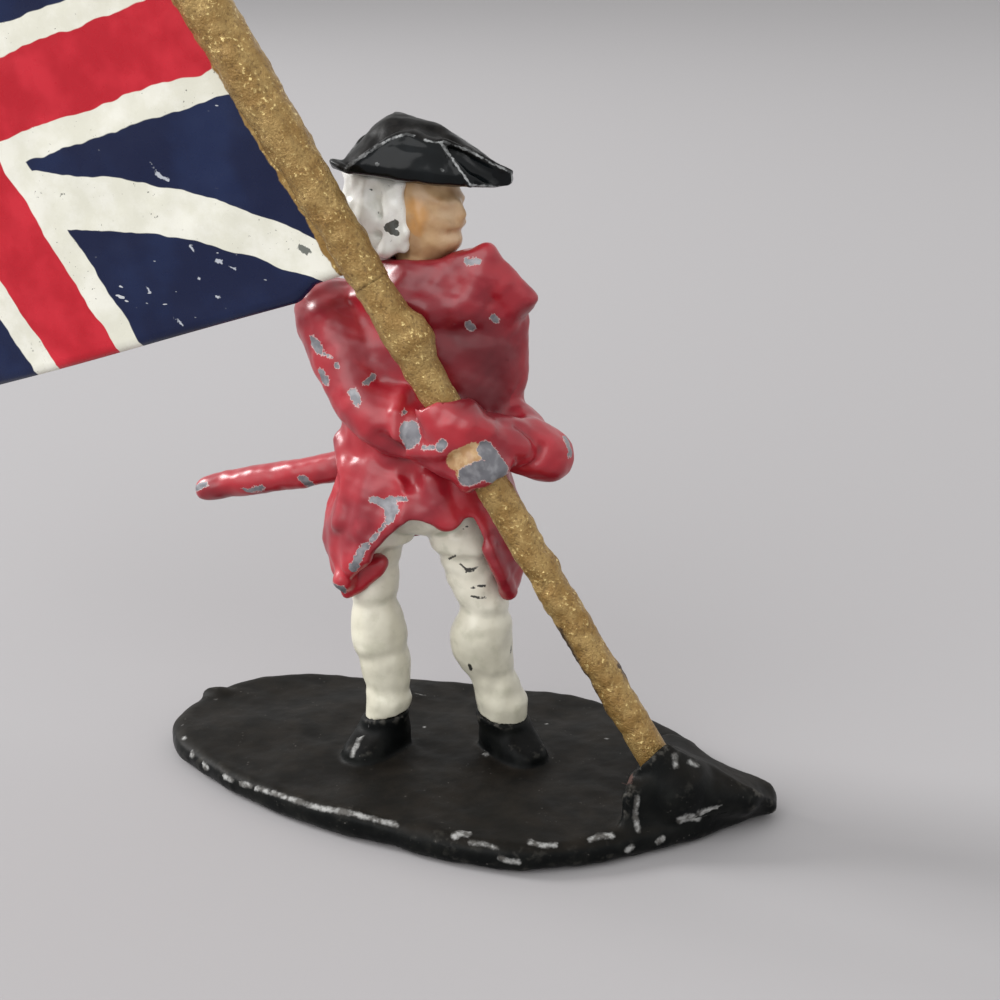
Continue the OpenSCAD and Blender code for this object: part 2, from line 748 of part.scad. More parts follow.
module tricorne_hat() {
    rings = [for (r = hat_shares) [for (i = [0 : hat_sides - 1])
        let (a = 360 * i / hat_sides,
            corner = max([for (c = hat_corner_angles) pow(max(0, cos(a - c)), corner_sharpness)]),
            reach = mix(hat_flap_r * r[1], hat_corner_r * r[2], corner))
        [reach * cos(a) - hat_corner_r * r[3], reach * sin(a), hat_h * r[0]]]];
    color(gloss_black) difference() {
        hat_frame()
            skin(rings);
        hat_frame()
            translate([0, 0, -over])
                cylinder(d = hat_peg_d + 2 * seat_gap, h = over + hat_peg_len + seat_gap);
        pole_way();
    }
}

module scabbard() {
    dir = [-cos(scabbard_droop), sin(scabbard_out_angle), -sin(scabbard_droop)];
    color(coat_red) difference() {
        limb([for (r = scabbard_shares) scabbard_at + unit(dir) * scabbard_len * r[0]],
            [for (r = scabbard_shares) r[1] * scabbard_d / 2]);
        skirt_form(seat_gap);
        coat_form(seat_gap);
    }
}

module flag_pole() {
    r = pole_d / 2;
    swell_from = left_grip_s + hand_len / 2 + pass_gap;
    swell = [for (p = swell_shares) [mix(r, pole_swell_d / 2, p[1]), mix(swell_from, flag_foot_s, p[0])]];
    color(gold)
        on_pole()
            rotate_extrude()
                polygon(concat([[0, -socket_depth], [r, -socket_depth]], swell,
                    [[r, pole_len], [0, pole_len]]));
    color(gold)
        on_pole(pole_len)
            cylinder(d = spigot_d, h = spigot_len);
}

module flag() {
    dir = [-cos(flag_turn), sin(flag_turn), 0];
    side = [sin(flag_turn), cos(flag_turn), 0];
    up = [0, 0, 1];
    from = pole_d / 2 + flag_sleeve_t / 2;
    color(navy)
        on_pole(flag_foot_s) union() {
            difference() {
                cylinder(r = sleeve_r, h = flag_hoist);
                translate([0, 0, -over])
                    cylinder(d = pole_d + 2 * seat_gap, h = flag_hoist + 2 * over);
            }
            skin([for (k = [0 : flag_stations])
                let (share = k / flag_stations, u = mix(from, flag_fly, share),
                    bow = flag_wave * share * sin(360 * flag_waves * share),
                    foot = dir * u + up * (u * flag_rise_share) + side * bow)
                [foot - side * flag_t / 2, foot + up * flag_hoist - side * flag_t / 2,
                    foot + up * flag_hoist + side * flag_t / 2, foot + side * flag_t / 2]]);
        }
}

module pole_finial() {
    r = finial_d / 2;
    color(gold)
        on_pole(pole_len)
            rotate_extrude()
                polygon(concat([[spigot_d / 2 + seat_gap, 0]],
                    [for (p = finial_shares) [p[1] * r, p[0] * finial_len]],
                    [[0, spigot_len + seat_gap], [spigot_d / 2 + seat_gap, spigot_len + seat_gap]]));
}

base_plate();
pole_rock();
right_shoe();
left_shoe();
right_gaiter();
left_gaiter();
breeches();
right_coat_skirt();
left_coat_skirt();
coat_body();
cape_collar();
right_sleeve();
left_sleeve();
right_hand();
left_hand();
head();
wig();
tricorne_hat();
scabbard();
flag_pole();
flag();
pole_finial();
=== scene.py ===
"""Looks of the toy soldier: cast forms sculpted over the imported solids, in painted metal."""
import json
import math

import bpy
import numpy as np
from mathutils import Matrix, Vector
from mathutils.bvhtree import BVHTree


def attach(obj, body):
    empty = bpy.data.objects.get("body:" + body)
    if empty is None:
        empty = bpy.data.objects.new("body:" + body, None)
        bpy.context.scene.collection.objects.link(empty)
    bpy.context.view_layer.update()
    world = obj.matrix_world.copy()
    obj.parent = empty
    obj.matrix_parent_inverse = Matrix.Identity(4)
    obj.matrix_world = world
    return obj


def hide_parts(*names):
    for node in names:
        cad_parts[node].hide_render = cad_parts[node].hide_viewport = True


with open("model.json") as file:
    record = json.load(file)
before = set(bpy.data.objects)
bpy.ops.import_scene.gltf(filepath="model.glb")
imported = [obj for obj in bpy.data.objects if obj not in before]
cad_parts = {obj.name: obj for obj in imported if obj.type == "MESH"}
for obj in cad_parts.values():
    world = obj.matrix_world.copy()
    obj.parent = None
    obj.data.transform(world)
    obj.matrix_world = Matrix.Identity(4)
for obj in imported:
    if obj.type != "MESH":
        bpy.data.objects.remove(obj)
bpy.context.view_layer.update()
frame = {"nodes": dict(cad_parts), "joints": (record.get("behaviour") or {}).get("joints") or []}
scene = bpy.context.scene

# Lengths below are in millimetres, and turn into metres where a mesh is made
MM = 0.001
PITCH = 0.2
HEAD_PITCH = 0.15
BASE_PITCH = 0.25
# A solid's distances are worked out up to this far from it
FAR = 1.8
# The value of a mark's attribute where there is no mark
OUTSIDE = -9.0

# The camera stands where the photograph was taken from
CAM_AT = np.array([46.08, -137.95, 75.0])
CAM_YAW = math.radians(17.004)
CAM_PITCH = math.radians(18.178)
CAM_F = 1723.0
IMAGE_SIDE = 1000
MIDDLE = IMAGE_SIDE / 2
SENSOR = 36.0
CAM_LEVEL = math.cos(CAM_PITCH)
CAM_FORWARD = np.array([-math.sin(CAM_YAW) * CAM_LEVEL, math.cos(CAM_YAW) * CAM_LEVEL, -math.sin(CAM_PITCH)])
CAM_RIGHT = np.array([math.cos(CAM_YAW), math.sin(CAM_YAW), 0.0])
CAM_UP = np.cross(CAM_RIGHT, CAM_FORWARD)

# The pole's axis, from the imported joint
JOINT = frame["joints"][0]
POLE_FOOT = np.array(JOINT["pos_m"]) / MM
POLE_DIR = np.array(JOINT["axis"], float)
POLE_DIR /= np.linalg.norm(POLE_DIR)
POLE_SIDE = np.cross([0, 1, 0], POLE_DIR)
POLE_SIDE /= np.linalg.norm(POLE_SIDE)
POLE_BACK = np.cross(POLE_DIR, POLE_SIDE)


# Fields on a lattice

class Grid:
    """A box of lattice points; every grid of one pitch shares one lattice."""

    def __init__(self, lo, hi, pitch=PITCH):
        self.pitch = pitch
        self.start = np.floor(np.array(lo) / pitch).astype(int)
        self.count = np.ceil(np.array(hi) / pitch).astype(int) - self.start + 1
        self.ax = [((self.start[k] + np.arange(self.count[k])) * pitch).astype(np.float32) for k in range(3)]
        self.all = np.ix_(*self.ax)
        self.x, self.y, self.z = self.all

    def off(self, at):
        """Every point's offset from one place."""
        return self.x - at[0], self.y - at[1], self.z - at[2]


TREES = {}


def packed(name):
    """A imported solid's points in millimetres, and its faces as a search tree."""
    if name not in TREES:
        me = frame["nodes"][name].data
        co = np.empty(len(me.vertices) * 3, np.float32)
        me.vertices.foreach_get("co", co)
        verts = co.reshape(-1, 3) / MM
        faces = [tuple(p.vertices) for p in me.polygons]
        TREES[name] = verts, BVHTree.FromPolygons([Vector(v) for v in verts.tolist()], faces)
    return TREES[name]


def finer(coarse, count, axis):
    """Doubles the samples along one axis, linear between them."""
    c = np.moveaxis(coarse, axis, 0)
    out = np.empty((2 * len(c) - 1,) + c.shape[1:], np.float32)
    out[0::2] = c
    out[1::2] = (c[:-1] + c[1:]) / 2
    return np.moveaxis(out[:count], 0, axis)


# Upright rays stand a little aside of the lattice, off the solids' own edges
RAY_ASIDE = (0.0031, 0.0017)
RAY_STEP = 1e-4


def crossings(tree, x, y, z):
    """Heights at which an upright ray meets a solid, and whether it enters there."""
    found = []
    while True:
        hit, normal, _, _ = tree.ray_cast(Vector((x + RAY_ASIDE[0], y + RAY_ASIDE[1], z)), Vector((0, 0, 1)))
        if hit is None:
            return found
        found.append((hit.z, normal.z < 0))
        z = hit.z + RAY_STEP


def solid(grid, name):
    """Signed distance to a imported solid, sampled at every second lattice point."""
    verts, tree = packed(name)
    lo, hi = verts.min(0) - FAR, verts.max(0) + FAR
    ax = [(grid.start[k] + 2 * np.arange(grid.count[k] // 2 + 1)) * grid.pitch for k in range(3)]
    gap = [np.maximum(np.maximum(lo[k] - ax[k], ax[k] - hi[k]), 0) for k in range(3)]
    field = np.sqrt(sum(g ** 2 for g in np.ix_(*gap))) + FAR
    near = [np.nonzero(g == 0)[0] for g in gap]
    for i in near[0]:
        for j in near[1]:
            x, y = float(ax[0][i]), float(ax[1][j])
            hits = crossings(tree, x, y, float(lo[2]) - 1)
            for k in near[2]:
                z = float(ax[2][k])
                below = [entering for height, entering in hits if height < z]
                d = tree.find_nearest(Vector((x, y, z)))[3]
                field[i, j, k] = -d if below and below[-1] else d
    field = field.astype(np.float32)
    for axis in range(3):
        field = finer(field, grid.count[axis], axis)
    return field


def blur(field, times):
    """Rounds a field: one binomial pass has a width of about one pitch."""
    for _ in range(times):
        for axis in range(3):
            f = np.moveaxis(field, axis, 0)
            p = np.concatenate([f[:1], f[:1], f, f[-1:], f[-1:]])
            f = (p[:-4] + 4 * p[1:-3] + 6 * p[2:-2] + 4 * p[3:-1] + p[4:]) / 16
            field = np.moveaxis(f, 0, axis)
    return field


def join(a, b, k):
    """Both forms, blended over the width k where they meet."""
    h = np.clip(0.5 + 0.5 * (b - a) / k, 0, 1)
    return b + (a - b) * h - k * h * (1 - h)


def carve(a, b, k):
    """Takes form b out of form a, with a rounded edge."""
    return -join(-a, b, k)


def cone(grid, a, b, ra, rb):
    """A round limb from a to b."""
    a, b = np.array(a, float), np.array(b, float)
    d = b - a
    px, py, pz = grid.off(a)
    t = np.clip((px * d[0] + py * d[1] + pz * d[2]) / max(d @ d, 1e-9), 0, 1)
    return np.sqrt((px - t * d[0]) ** 2 + (py - t * d[1]) ** 2 + (pz - t * d[2]) ** 2) - (ra + (rb - ra) * t)


def chain(grid, points, radii):
    """Round limbs from point to point."""
    return np.minimum.reduce([cone(grid, *ends) for ends in zip(points, points[1:], radii, radii[1:])])


def egg(grid, at, radii):
    """An ellipsoid."""
    px, py, pz = grid.off(at)
    n = np.sqrt((px / radii[0]) ** 2 + (py / radii[1]) ** 2 + (pz / radii[2]) ** 2)
    return (n - 1) * min(radii)


def pole_room(grid, radii):
    """Room about the pole: radii is a list of (from, to, radius) along it."""
    px, py, pz = grid.off(POLE_FOOT)
    s = px * POLE_DIR[0] + py * POLE_DIR[1] + pz * POLE_DIR[2]
    r = np.sqrt(np.maximum(px * px + py * py + pz * pz - s * s, 0))
    return np.minimum.reduce([np.maximum(r - room, np.maximum(a - s, s - b)) for a, b, room in radii])


CORNERS = np.array([[i, j, k] for i in (0, 1) for j in (0, 1) for k in (0, 1)])
EDGES = [(a, b) for a in range(8) for b in range(a + 1, 8) if abs(CORNERS[a] - CORNERS[b]).sum() == 1]


def largest(count, quads):
    """Marks the points of the largest connected part."""
    label = np.arange(count)
    pairs = np.concatenate([quads[:, [0, 1]], quads[:, [1, 2]], quads[:, [2, 3]]])
    while True:
        low = np.minimum(label[pairs[:, 0]], label[pairs[:, 1]])
        new = label.copy()
        np.minimum.at(new, pairs[:, 0], low)
        np.minimum.at(new, pairs[:, 1], low)
        new = new[new]
        if (new == label).all():
            break
        label = new
    return label == np.bincount(label).argmax()


def net(field, grid):
    """Points and quads of the surface where the field is zero."""
    inside = field < 0
    n = np.zeros(tuple(np.array(field.shape) - 1), np.int8)
    for c in CORNERS:
        n += inside[tuple(slice(c[k], field.shape[k] - 1 + c[k]) for k in range(3))]
    cells = np.argwhere((n > 0) & (n < 8))
    total, hits = np.zeros((len(cells), 3)), np.zeros(len(cells))
    values = [field[tuple((cells + c).T)] for c in CORNERS]
    for a, b in EDGES:
        cross = (values[a] < 0) != (values[b] < 0)
        t = np.where(cross, values[a] / np.where(cross, values[a] - values[b], 1), 0)
        total += cross[:, None] * (CORNERS[a] + t[:, None] * (CORNERS[b] - CORNERS[a]))
        hits += cross
    points = (cells + total / hits[:, None] + grid.start) * grid.pitch
    index = np.full(n.shape, -1)
    index[tuple(cells.T)] = np.arange(len(cells))
    quads = []
    for axis in range(3):
        u, v = (axis + 1) % 3, (axis + 2) % 3
        f = np.moveaxis(inside, axis, 0)
        at = np.argwhere(np.moveaxis(f[:-1] != f[1:], 0, axis))
        at = at[(at[:, u] >= 1) & (at[:, v] >= 1) & (at[:, u] < n.shape[u]) & (at[:, v] < n.shape[v])]
        eu, ev = np.eye(3, dtype=int)[u], np.eye(3, dtype=int)[v]
        q = np.stack([index[tuple((at - o).T)] for o in (0 * eu, eu, eu + ev, ev)], 1)
        flip = ~inside[tuple(at.T)]
        q[flip] = q[flip][:, ::-1]
        quads.append(q)
    quads = np.concatenate(quads)
    keep = largest(len(points), quads)
    number = np.cumsum(keep) - 1
    quads = number[quads[keep[quads[:, 0]]]]
    return points[keep], quads


def sample(field, grid, points):
    """The field between the lattice points."""
    p = points / grid.pitch - grid.start
    i = np.clip(np.floor(p).astype(int), 0, np.array(field.shape) - 2)
    t = p - i
    out = 0
    for c in CORNERS:
        w = np.prod(np.where(c, t, 1 - t), axis=1)
        out = out + w * field[tuple((i + c).T)]
    return out


# How far apart a slope is measured, as a share of the pitch
SLOPE_SHARE = 0.75


def slope(field, grid, points):
    """Unit gradient of the field at the points."""
    e = np.eye(3) * grid.pitch * SLOPE_SHARE
    g = np.stack([sample(field, grid, points + e[k]) - sample(field, grid, points - e[k]) for k in range(3)], 1)
    return g / np.maximum(np.linalg.norm(g, axis=1, keepdims=True), 1e-9)


def lumps(points, wavelength, seed, waves=16):
    """Smooth unevenness of about unit height at one wavelength."""
    rng = np.random.default_rng(seed)
    d = rng.normal(size=(waves, 3))
    pace = (2 * math.pi / wavelength) * rng.uniform(0.7, 1.4, (waves, 1))
    d *= pace / np.linalg.norm(d, axis=1, keepdims=True)
    return np.sin(points @ d.T + rng.uniform(0, 2 * math.pi, waves)).sum(1) * math.sqrt(2 / waves)


# Marks in the paint

# Paths in the picture's frame are in its pixels
MARK_REACH = 8
# How deep a mark goes on behind the nearest surface on its path, in general and on slanting forms
NEAR_ROOM = 1.6
WIDE_ROOM = 3.0
DEEP_ROOM = 6.0


def look(px, py):
    """The way in which the camera sees a point of the picture."""
    return CAM_FORWARD + CAM_RIGHT * (px - MIDDLE) / CAM_F + CAM_UP * (MIDDLE - py) / CAM_F


def project(points):
    """Where the picture shows the points, and how far away they are."""
    v = points - CAM_AT
    depth = v @ CAM_FORWARD
    return MIDDLE + CAM_F * (v @ CAM_RIGHT) / depth, MIDDLE - CAM_F * (v @ CAM_UP) / depth, depth


def marks(points, normals, paths, room=NEAR_ROOM):
    """How far inside a mark a point lies, in mm, for marks laid along paths in the picture's frame
    on the surface that faces the camera there."""
    px, py, depth = project(points)
    facing = ((CAM_AT - points) * normals).sum(1) > 0
    out = np.full(len(points), OUTSIDE)
    for path, radius in paths:
        path = np.array(path, float).reshape(-1, 2)
        ends = path[1:] if len(path) > 1 else path
        d = np.full(len(points), np.inf)
        for a, b in zip(path, ends):
            e = b - a
            t = np.clip(((px - a[0]) * e[0] + (py - a[1]) * e[1]) / max(e @ e, 1e-9), 0, 1)
            d = np.minimum(d, np.hypot(px - a[0] - t * e[0], py - a[1] - t * e[1]))
        close = facing & (d < radius + MARK_REACH)
        if close.any():
            use = close & (depth < depth[close].min() + room)
            out = np.where(use, np.maximum(out, (radius - d) * depth / CAM_F), out)
    return out


def spots(points, seed, count, low, high, behind, above):
    """The same for round spots strewn behind one y and above one z, with radii from low to high."""
    rng = np.random.default_rng(seed)
    at = points[rng.integers(0, len(points), count)]
    radius = rng.uniform(low, high, count)
    out = np.full(len(points), OUTSIDE)
    for c, r in zip(at, radius):
        if c[1] >= behind and c[2] >= above:
            out = np.maximum(out, r - np.linalg.norm(points - c, axis=1))
    return out


# Pieces

def piece(node, points, faces, slot, materials, body="figure", normals=None, **attributes):
    """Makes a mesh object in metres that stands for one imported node."""
    name = node + "_cast"
    me = bpy.data.meshes.new(name)
    me.from_pydata((points * MM).tolist(), [], faces)
    me.polygons.foreach_set("use_smooth", np.ones(len(me.polygons), bool))
    for key, values in attributes.items():
        me.attributes.new(key, "FLOAT", "POINT").data.foreach_set("value", np.asarray(values, np.float32))
    me.validate()
    if normals is not None:
        me.normals_split_custom_set_from_vertices(normals.tolist())
    ob = bpy.data.objects.new(name, me)
    scene.collection.objects.link(ob)
    for material in materials:
        me.materials.append(material)
    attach(ob, body)
    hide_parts(node)
    return ob


# Unevenness reaches this far from a surface
ROUGH_BAND = 0.9
# A point this share of a pitch from the whole form lies on its outside
SKIN_SHARE = 0.6
RELIEF_BLURS = 6
SEAM = 0.12


def roughen(grid, field, seed, rough):
    """Adds the hammered unevenness of an old casting near the surface: rough lists (wavelength, height)."""
    band = np.argwhere(np.abs(field) < ROUGH_BAND)
    points = (band + grid.start) * grid.pitch
    out = field.copy()
    out[tuple(band.T)] -= sum(h * lumps(points, w, seed + k) for k, (w, h) in enumerate(rough))
    return out


def share_of(own, name):
    """Where one piece of a casting is nearer than the others, less a seam."""
    return own[name] - np.minimum.reduce([field for other, field in own.items() if other != name]) - SEAM


def merge(own, soft):
    """The pieces of a casting blended into one form."""
    whole, *rest = own.values()
    for field in rest:
        whole = join(whole, field, soft)
    return whole


def limbs(grid, field, rows, blend=join):
    """Adds round limbs, or takes them out where blend is carve: rows of path, radii and softness."""
    for path, radii, soft in rows:
        field = blend(field, chain(grid, path, radii), soft)
    return field


def cast(grid, whole, part=None):
    """One piece of a casting: the part's own share of the whole form, with the whole's normals, and how
    raised or hollow each point is."""
    field = np.maximum(whole, part) if part is not None else whole
    points, quads = net(field, grid)
    outer = np.abs(sample(whole, grid, points)) < SKIN_SHARE * grid.pitch
    normals = np.where(outer[:, None], slope(whole, grid, points), slope(field, grid, points))
    relief = sample(blur(whole, RELIEF_BLURS) - whole, grid, points)
    return points, quads.tolist(), normals, relief


def sight(px, py, names, deeper=0.0):
    """The point of the named solids that the picture shows at a place, pushed deeper along the sight line."""
    ray = look(px, py)
    ray /= np.linalg.norm(ray)
    hits = [packed(name)[1].ray_cast(Vector(CAM_AT), Vector(ray)) for name in names]
    reach = [hit[3] for hit in hits if hit[0] is not None]
    return CAM_AT + ray * (min(reach) + deeper) if reach else None


def strokes(grid, field, names, rows, blend=join):
    """Ridges, or grooves where blend is carve, along paths in the picture's frame: each row has the path, the
    radius, how deep its middle lies and how soft it runs out."""
    for path, radius, deeper, soft in rows:
        points = [q for q in (sight(x, y, names, deeper) for x, y in path) if q is not None]
        if len(points) > 1:
            field = blend(field, chain(grid, points, [radius] * len(points)), soft)
    return field


def over_line(grid, a, b):
    """Height above the plane in which the camera sees the line between two points of the picture."""
    n = np.cross(look(*a), look(*b))
    n = n / np.linalg.norm(n) * np.sign(n @ CAM_UP)
    px, py, pz = grid.off(CAM_AT)
    return (px * n[0] + py * n[1] + pz * n[2]).astype(np.float32)


# Paints

class Paint:
    """A node material; its methods return sockets. Sizes are in millimetres."""

    def __init__(self, name):
        self.material = bpy.data.materials.new(name)
        self.material.use_nodes = True
        self.tree = self.material.node_tree
        self.tree.nodes.clear()
        self.shader = self.tree.nodes.new("ShaderNodeBsdfPrincipled")
        out = self.tree.nodes.new("ShaderNodeOutputMaterial")
        self.tree.links.new(self.shader.outputs[0], out.inputs[0])
        self.place = self.tree.nodes.new("ShaderNodeTexCoord").outputs["Object"]

    def put(self, socket, value):
        if isinstance(value, bpy.types.NodeSocket):
            self.tree.links.new(value, socket)
        elif isinstance(value, tuple):
            opaque = (1.0,) if len(value) == 3 and len(socket.default_value) == 4 else ()
            socket.default_value = value + opaque
        else:
            socket.default_value = value

    def set(self, **values):
        for key, value in values.items():
            self.put(self.shader.inputs[key.replace("_", " ")], value)

    def attr(self, name):
        n = self.tree.nodes.new("ShaderNodeAttribute")
        n.attribute_name = name
        return n.outputs["Fac"]

    def noise(self, size, detail=3.0, rough=0.5, at=None, output=0):
        n = self.tree.nodes.new("ShaderNodeTexNoise")
        self.put(n.inputs["Vector"], at or self.place)
        self.put(n.inputs["Scale"], 1 / (size * MM))
        self.put(n.inputs["Detail"], detail)
        self.put(n.inputs["Roughness"], rough)
        return n.outputs[output]

    def cells(self, size, output):
        n = self.tree.nodes.new("ShaderNodeTexVoronoi")
        self.put(n.inputs["Vector"], self.place)
        self.put(n.inputs["Scale"], 1 / (size * MM))
        return n.outputs[output]

    def calc(self, op, *values):
        n = self.tree.nodes.new("ShaderNodeMath")
        n.operation = op
        for socket, value in zip(n.inputs, values):
            self.put(socket, value)
        return n.outputs[0]

    def times(self, a, b):
        return self.calc("MULTIPLY", a, b)

    def less(self, a, b):
        return self.calc("SUBTRACT", a, b)

    def ramp(self, x, rise, start):
        """x times rise, plus start."""
        return self.calc("MULTIPLY_ADD", x, rise, start)

    def step(self, x, low, high):
        """0 below low and 1 above high, or the other way round where low is above high."""
        if low > high:
            return self.less(1.0, self.step(x, high, low))
        n = self.tree.nodes.new("ShaderNodeMapRange")
        n.interpolation_type = "SMOOTHSTEP"
        for socket, value in zip(n.inputs, (x, low, high, 0.0, 1.0)):
            self.put(socket, value)
        return n.outputs[0]

    def mix(self, share, a, b):
        n = self.tree.nodes.new("ShaderNodeMix")
        n.data_type = "RGBA"
        self.put(n.inputs[0], share)
        self.put(n.inputs[6], a)
        self.put(n.inputs[7], b)
        return n.outputs[2]

    def mottle(self, noise, low, high, a, b):
        """Two colours in patches: noise has their size, detail and roughness."""
        return self.mix(self.step(self.noise(*noise), low, high), a, b)

    def bump(self, height, distance, strength):
        n = self.tree.nodes.new("ShaderNodeBump")
        self.put(n.inputs["Strength"], strength)
        self.put(n.inputs["Distance"], distance * MM)
        self.put(n.inputs["Height"], height)
        return n.outputs[0]

    def ragged(self, name, coarse=0.75, fine=0.3):
        """A mark's attribute with a torn edge."""
        a = self.ramp(self.noise(0.8, 2), coarse, self.attr(name))
        b = self.ramp(self.noise(0.2, 3), fine, a)
        return self.less(b, (coarse + fine) / 2)


METAL = (0.15, 0.15, 0.165)
METAL_PALE = (0.25, 0.25, 0.265)


def bare_metal(p, inside, colour, rough):
    """Sets a paint's colour and roughness with bare metal where it is chipped and a painted highlight round
    each chip's edge, and returns where the metal is bare.
    """
    bare = p.step(inside, -0.01, 0.03)
    # Painted highlight: a paler ring round each chip, on the edge of the paint
    rim = p.times(p.step(inside, -0.08, -0.02), p.step(inside, 0.05, 0.0))
    grey = p.mottle((0.9, 3), 0.38, 0.66, METAL, METAL_PALE)
    colour = p.mix(p.times(rim, 0.55), colour, (0.62, 0.55, 0.53))
    p.set(Base_Color=p.mix(bare, colour, grey))
    p.set(Metallic=p.times(bare, 0.35))
    p.set(Roughness=p.ramp(bare, 0.44 - rough, rough))
    return bare


def red_coats(p):
    """The red's colour: painted shade in the hollows and on the chest, pinkish where it is thin."""
    relief = p.attr("relief")
    colour = p.mottle((5.5, 2), 0.36, 0.66, (0.22, 0.006, 0.015), (0.37, 0.011, 0.021))
    colour = p.mix(p.times(p.step(p.noise(1.8, 3), 0.52, 0.74), 0.35), colour, (0.42, 0.035, 0.05))
    # Painted shade: darker red in the hollows
    colour = p.mix(p.step(relief, -0.05, -0.26), colour, (0.075, 0.003, 0.007))
    colour = p.mix(p.times(p.step(relief, 0.12, 0.34), 0.5), colour, (0.44, 0.07, 0.08))
    # Painted shade: darker red on the chest, which lies in shade under the collar, the pole and the arms
    return p.mix(p.times(p.step(p.attr("deep"), -1.2, 1.8), 0.72), colour, (0.085, 0.003, 0.007))


def red_paint():
    p = Paint("coat_red_paint")
    bare = bare_metal(p, p.ragged("chip", 0.62, 0.34), red_coats(p), 0.36)
    height = p.ramp(bare, -1.0, p.noise(1.3, 2, 0.5))
    p.set(Normal=p.bump(height, 0.07, 0.4), Coat_Weight=0.15, Coat_Roughness=0.2)
    return p.material


def hand_paint():
    p = Paint("hand_paint")
    tan = p.mottle((0.9, 3), 0.4, 0.65, (0.40, 0.22, 0.09), (0.55, 0.37, 0.19))
    colour = p.mix(p.step(p.ragged("flesh", 0.3, 0.2), -0.03, 0.05), red_coats(p), tan)
    bare = bare_metal(p, p.ragged("chip", 0.4, 0.3), colour, 0.33)
    height = p.ramp(bare, -1.0, p.noise(1.1, 2, 0.5))
    p.set(Normal=p.bump(height, 0.07, 0.4), Coat_Weight=0.2, Coat_Roughness=0.2)
    return p.material


def cream_paint():
    p = Paint("leg_cream_paint")
    relief = p.attr("relief")
    # Painted light: the thighs get a paler cream than the gaiters, against the shade that falls on them under
    # the coat
    low = p.mix(p.attr("thigh"), (0.55, 0.525, 0.42), (0.72, 0.69, 0.57))
    high = p.mix(p.attr("thigh"), (0.66, 0.635, 0.515), (0.84, 0.81, 0.69))
    colour = p.mottle((3.0, 3), 0.36, 0.68, low, high)
    dirt = p.times(p.step(p.noise(1.3, 4, 0.6), 0.48, 0.72), 0.35)
    colour = p.mix(dirt, colour, (0.40, 0.40, 0.29))
    # Painted shade: greyer cream in the hollows
    colour = p.mix(p.times(p.step(relief, -0.02, -0.12), 0.7), colour, (0.30, 0.31, 0.22))
    inside = p.ragged("chip", 0.22, 0.14)
    dark = p.step(inside, -0.02, 0.03)
    p.set(Base_Color=p.mix(dark, colour, (0.035, 0.034, 0.028)))
    p.set(Roughness=p.ramp(p.noise(0.8, 3), 0.14, 0.24))
    height = p.ramp(dark, -1.0, p.noise(1.2, 2, 0.5))
    p.set(Normal=p.bump(height, 0.05, 0.35), Coat_Weight=0.2, Coat_Roughness=0.15)
    return p.material


def wig_paint():
    p = Paint("wig_white_paint")
    relief = p.attr("relief")
    colour = p.mottle((2.2, 3), 0.35, 0.65, (0.82, 0.82, 0.76), (0.91, 0.91, 0.87))
    # Painted shade: greyer white in the hollows
    colour = p.mix(p.times(p.step(relief, -0.06, -0.24), 0.6), colour, (0.42, 0.44, 0.38))
    speck = p.times(p.step(p.noise(0.28, 2), 0.72, 0.76), p.step(p.noise(1.6, 2), 0.5, 0.6))
    colour = p.mix(speck, colour, (0.10, 0.10, 0.09))
    inside = p.ragged("chip", 0.35, 0.25)
    dark = p.step(inside, -0.02, 0.03)
    p.set(Base_Color=p.mix(dark, colour, (0.085, 0.09, 0.08)))
    p.set(Roughness=p.ramp(p.noise(0.8, 3), 0.14, 0.20))
    height = p.ramp(dark, -0.7, p.noise(0.9, 2, 0.5))
    p.set(Normal=p.bump(height, 0.06, 0.4), Coat_Weight=0.2, Coat_Roughness=0.15)
    return p.material


def face_paint():
    p = Paint("face_tan_paint")
    relief = p.attr("relief")
    colour = p.mottle((1.6, 3), 0.38, 0.64, (0.45, 0.27, 0.135), (0.54, 0.35, 0.185))
    colour = p.mix(p.times(p.step(p.ragged("ear", 0.4), -0.3, 0.5), 0.8), colour, (0.58, 0.29, 0.09))
    # Painted highlight: paler tan on the cheek and the chin
    colour = p.mix(p.times(p.step(p.ragged("cheek", 0.4), -0.4, 0.6), 0.9), colour, (0.64, 0.45, 0.27))
    # Painted shade: darker tan in the hollows
    colour = p.mix(p.times(p.step(relief, -0.05, -0.24), 0.6), colour, (0.26, 0.12, 0.05))
    p.set(Base_Color=colour)
    p.set(Roughness=p.ramp(p.noise(0.8, 3), 0.16, 0.30))
    p.set(Normal=p.bump(p.noise(0.5, 3, 0.55), 0.07, 0.45), Coat_Weight=0.15, Coat_Roughness=0.2)
    return p.material


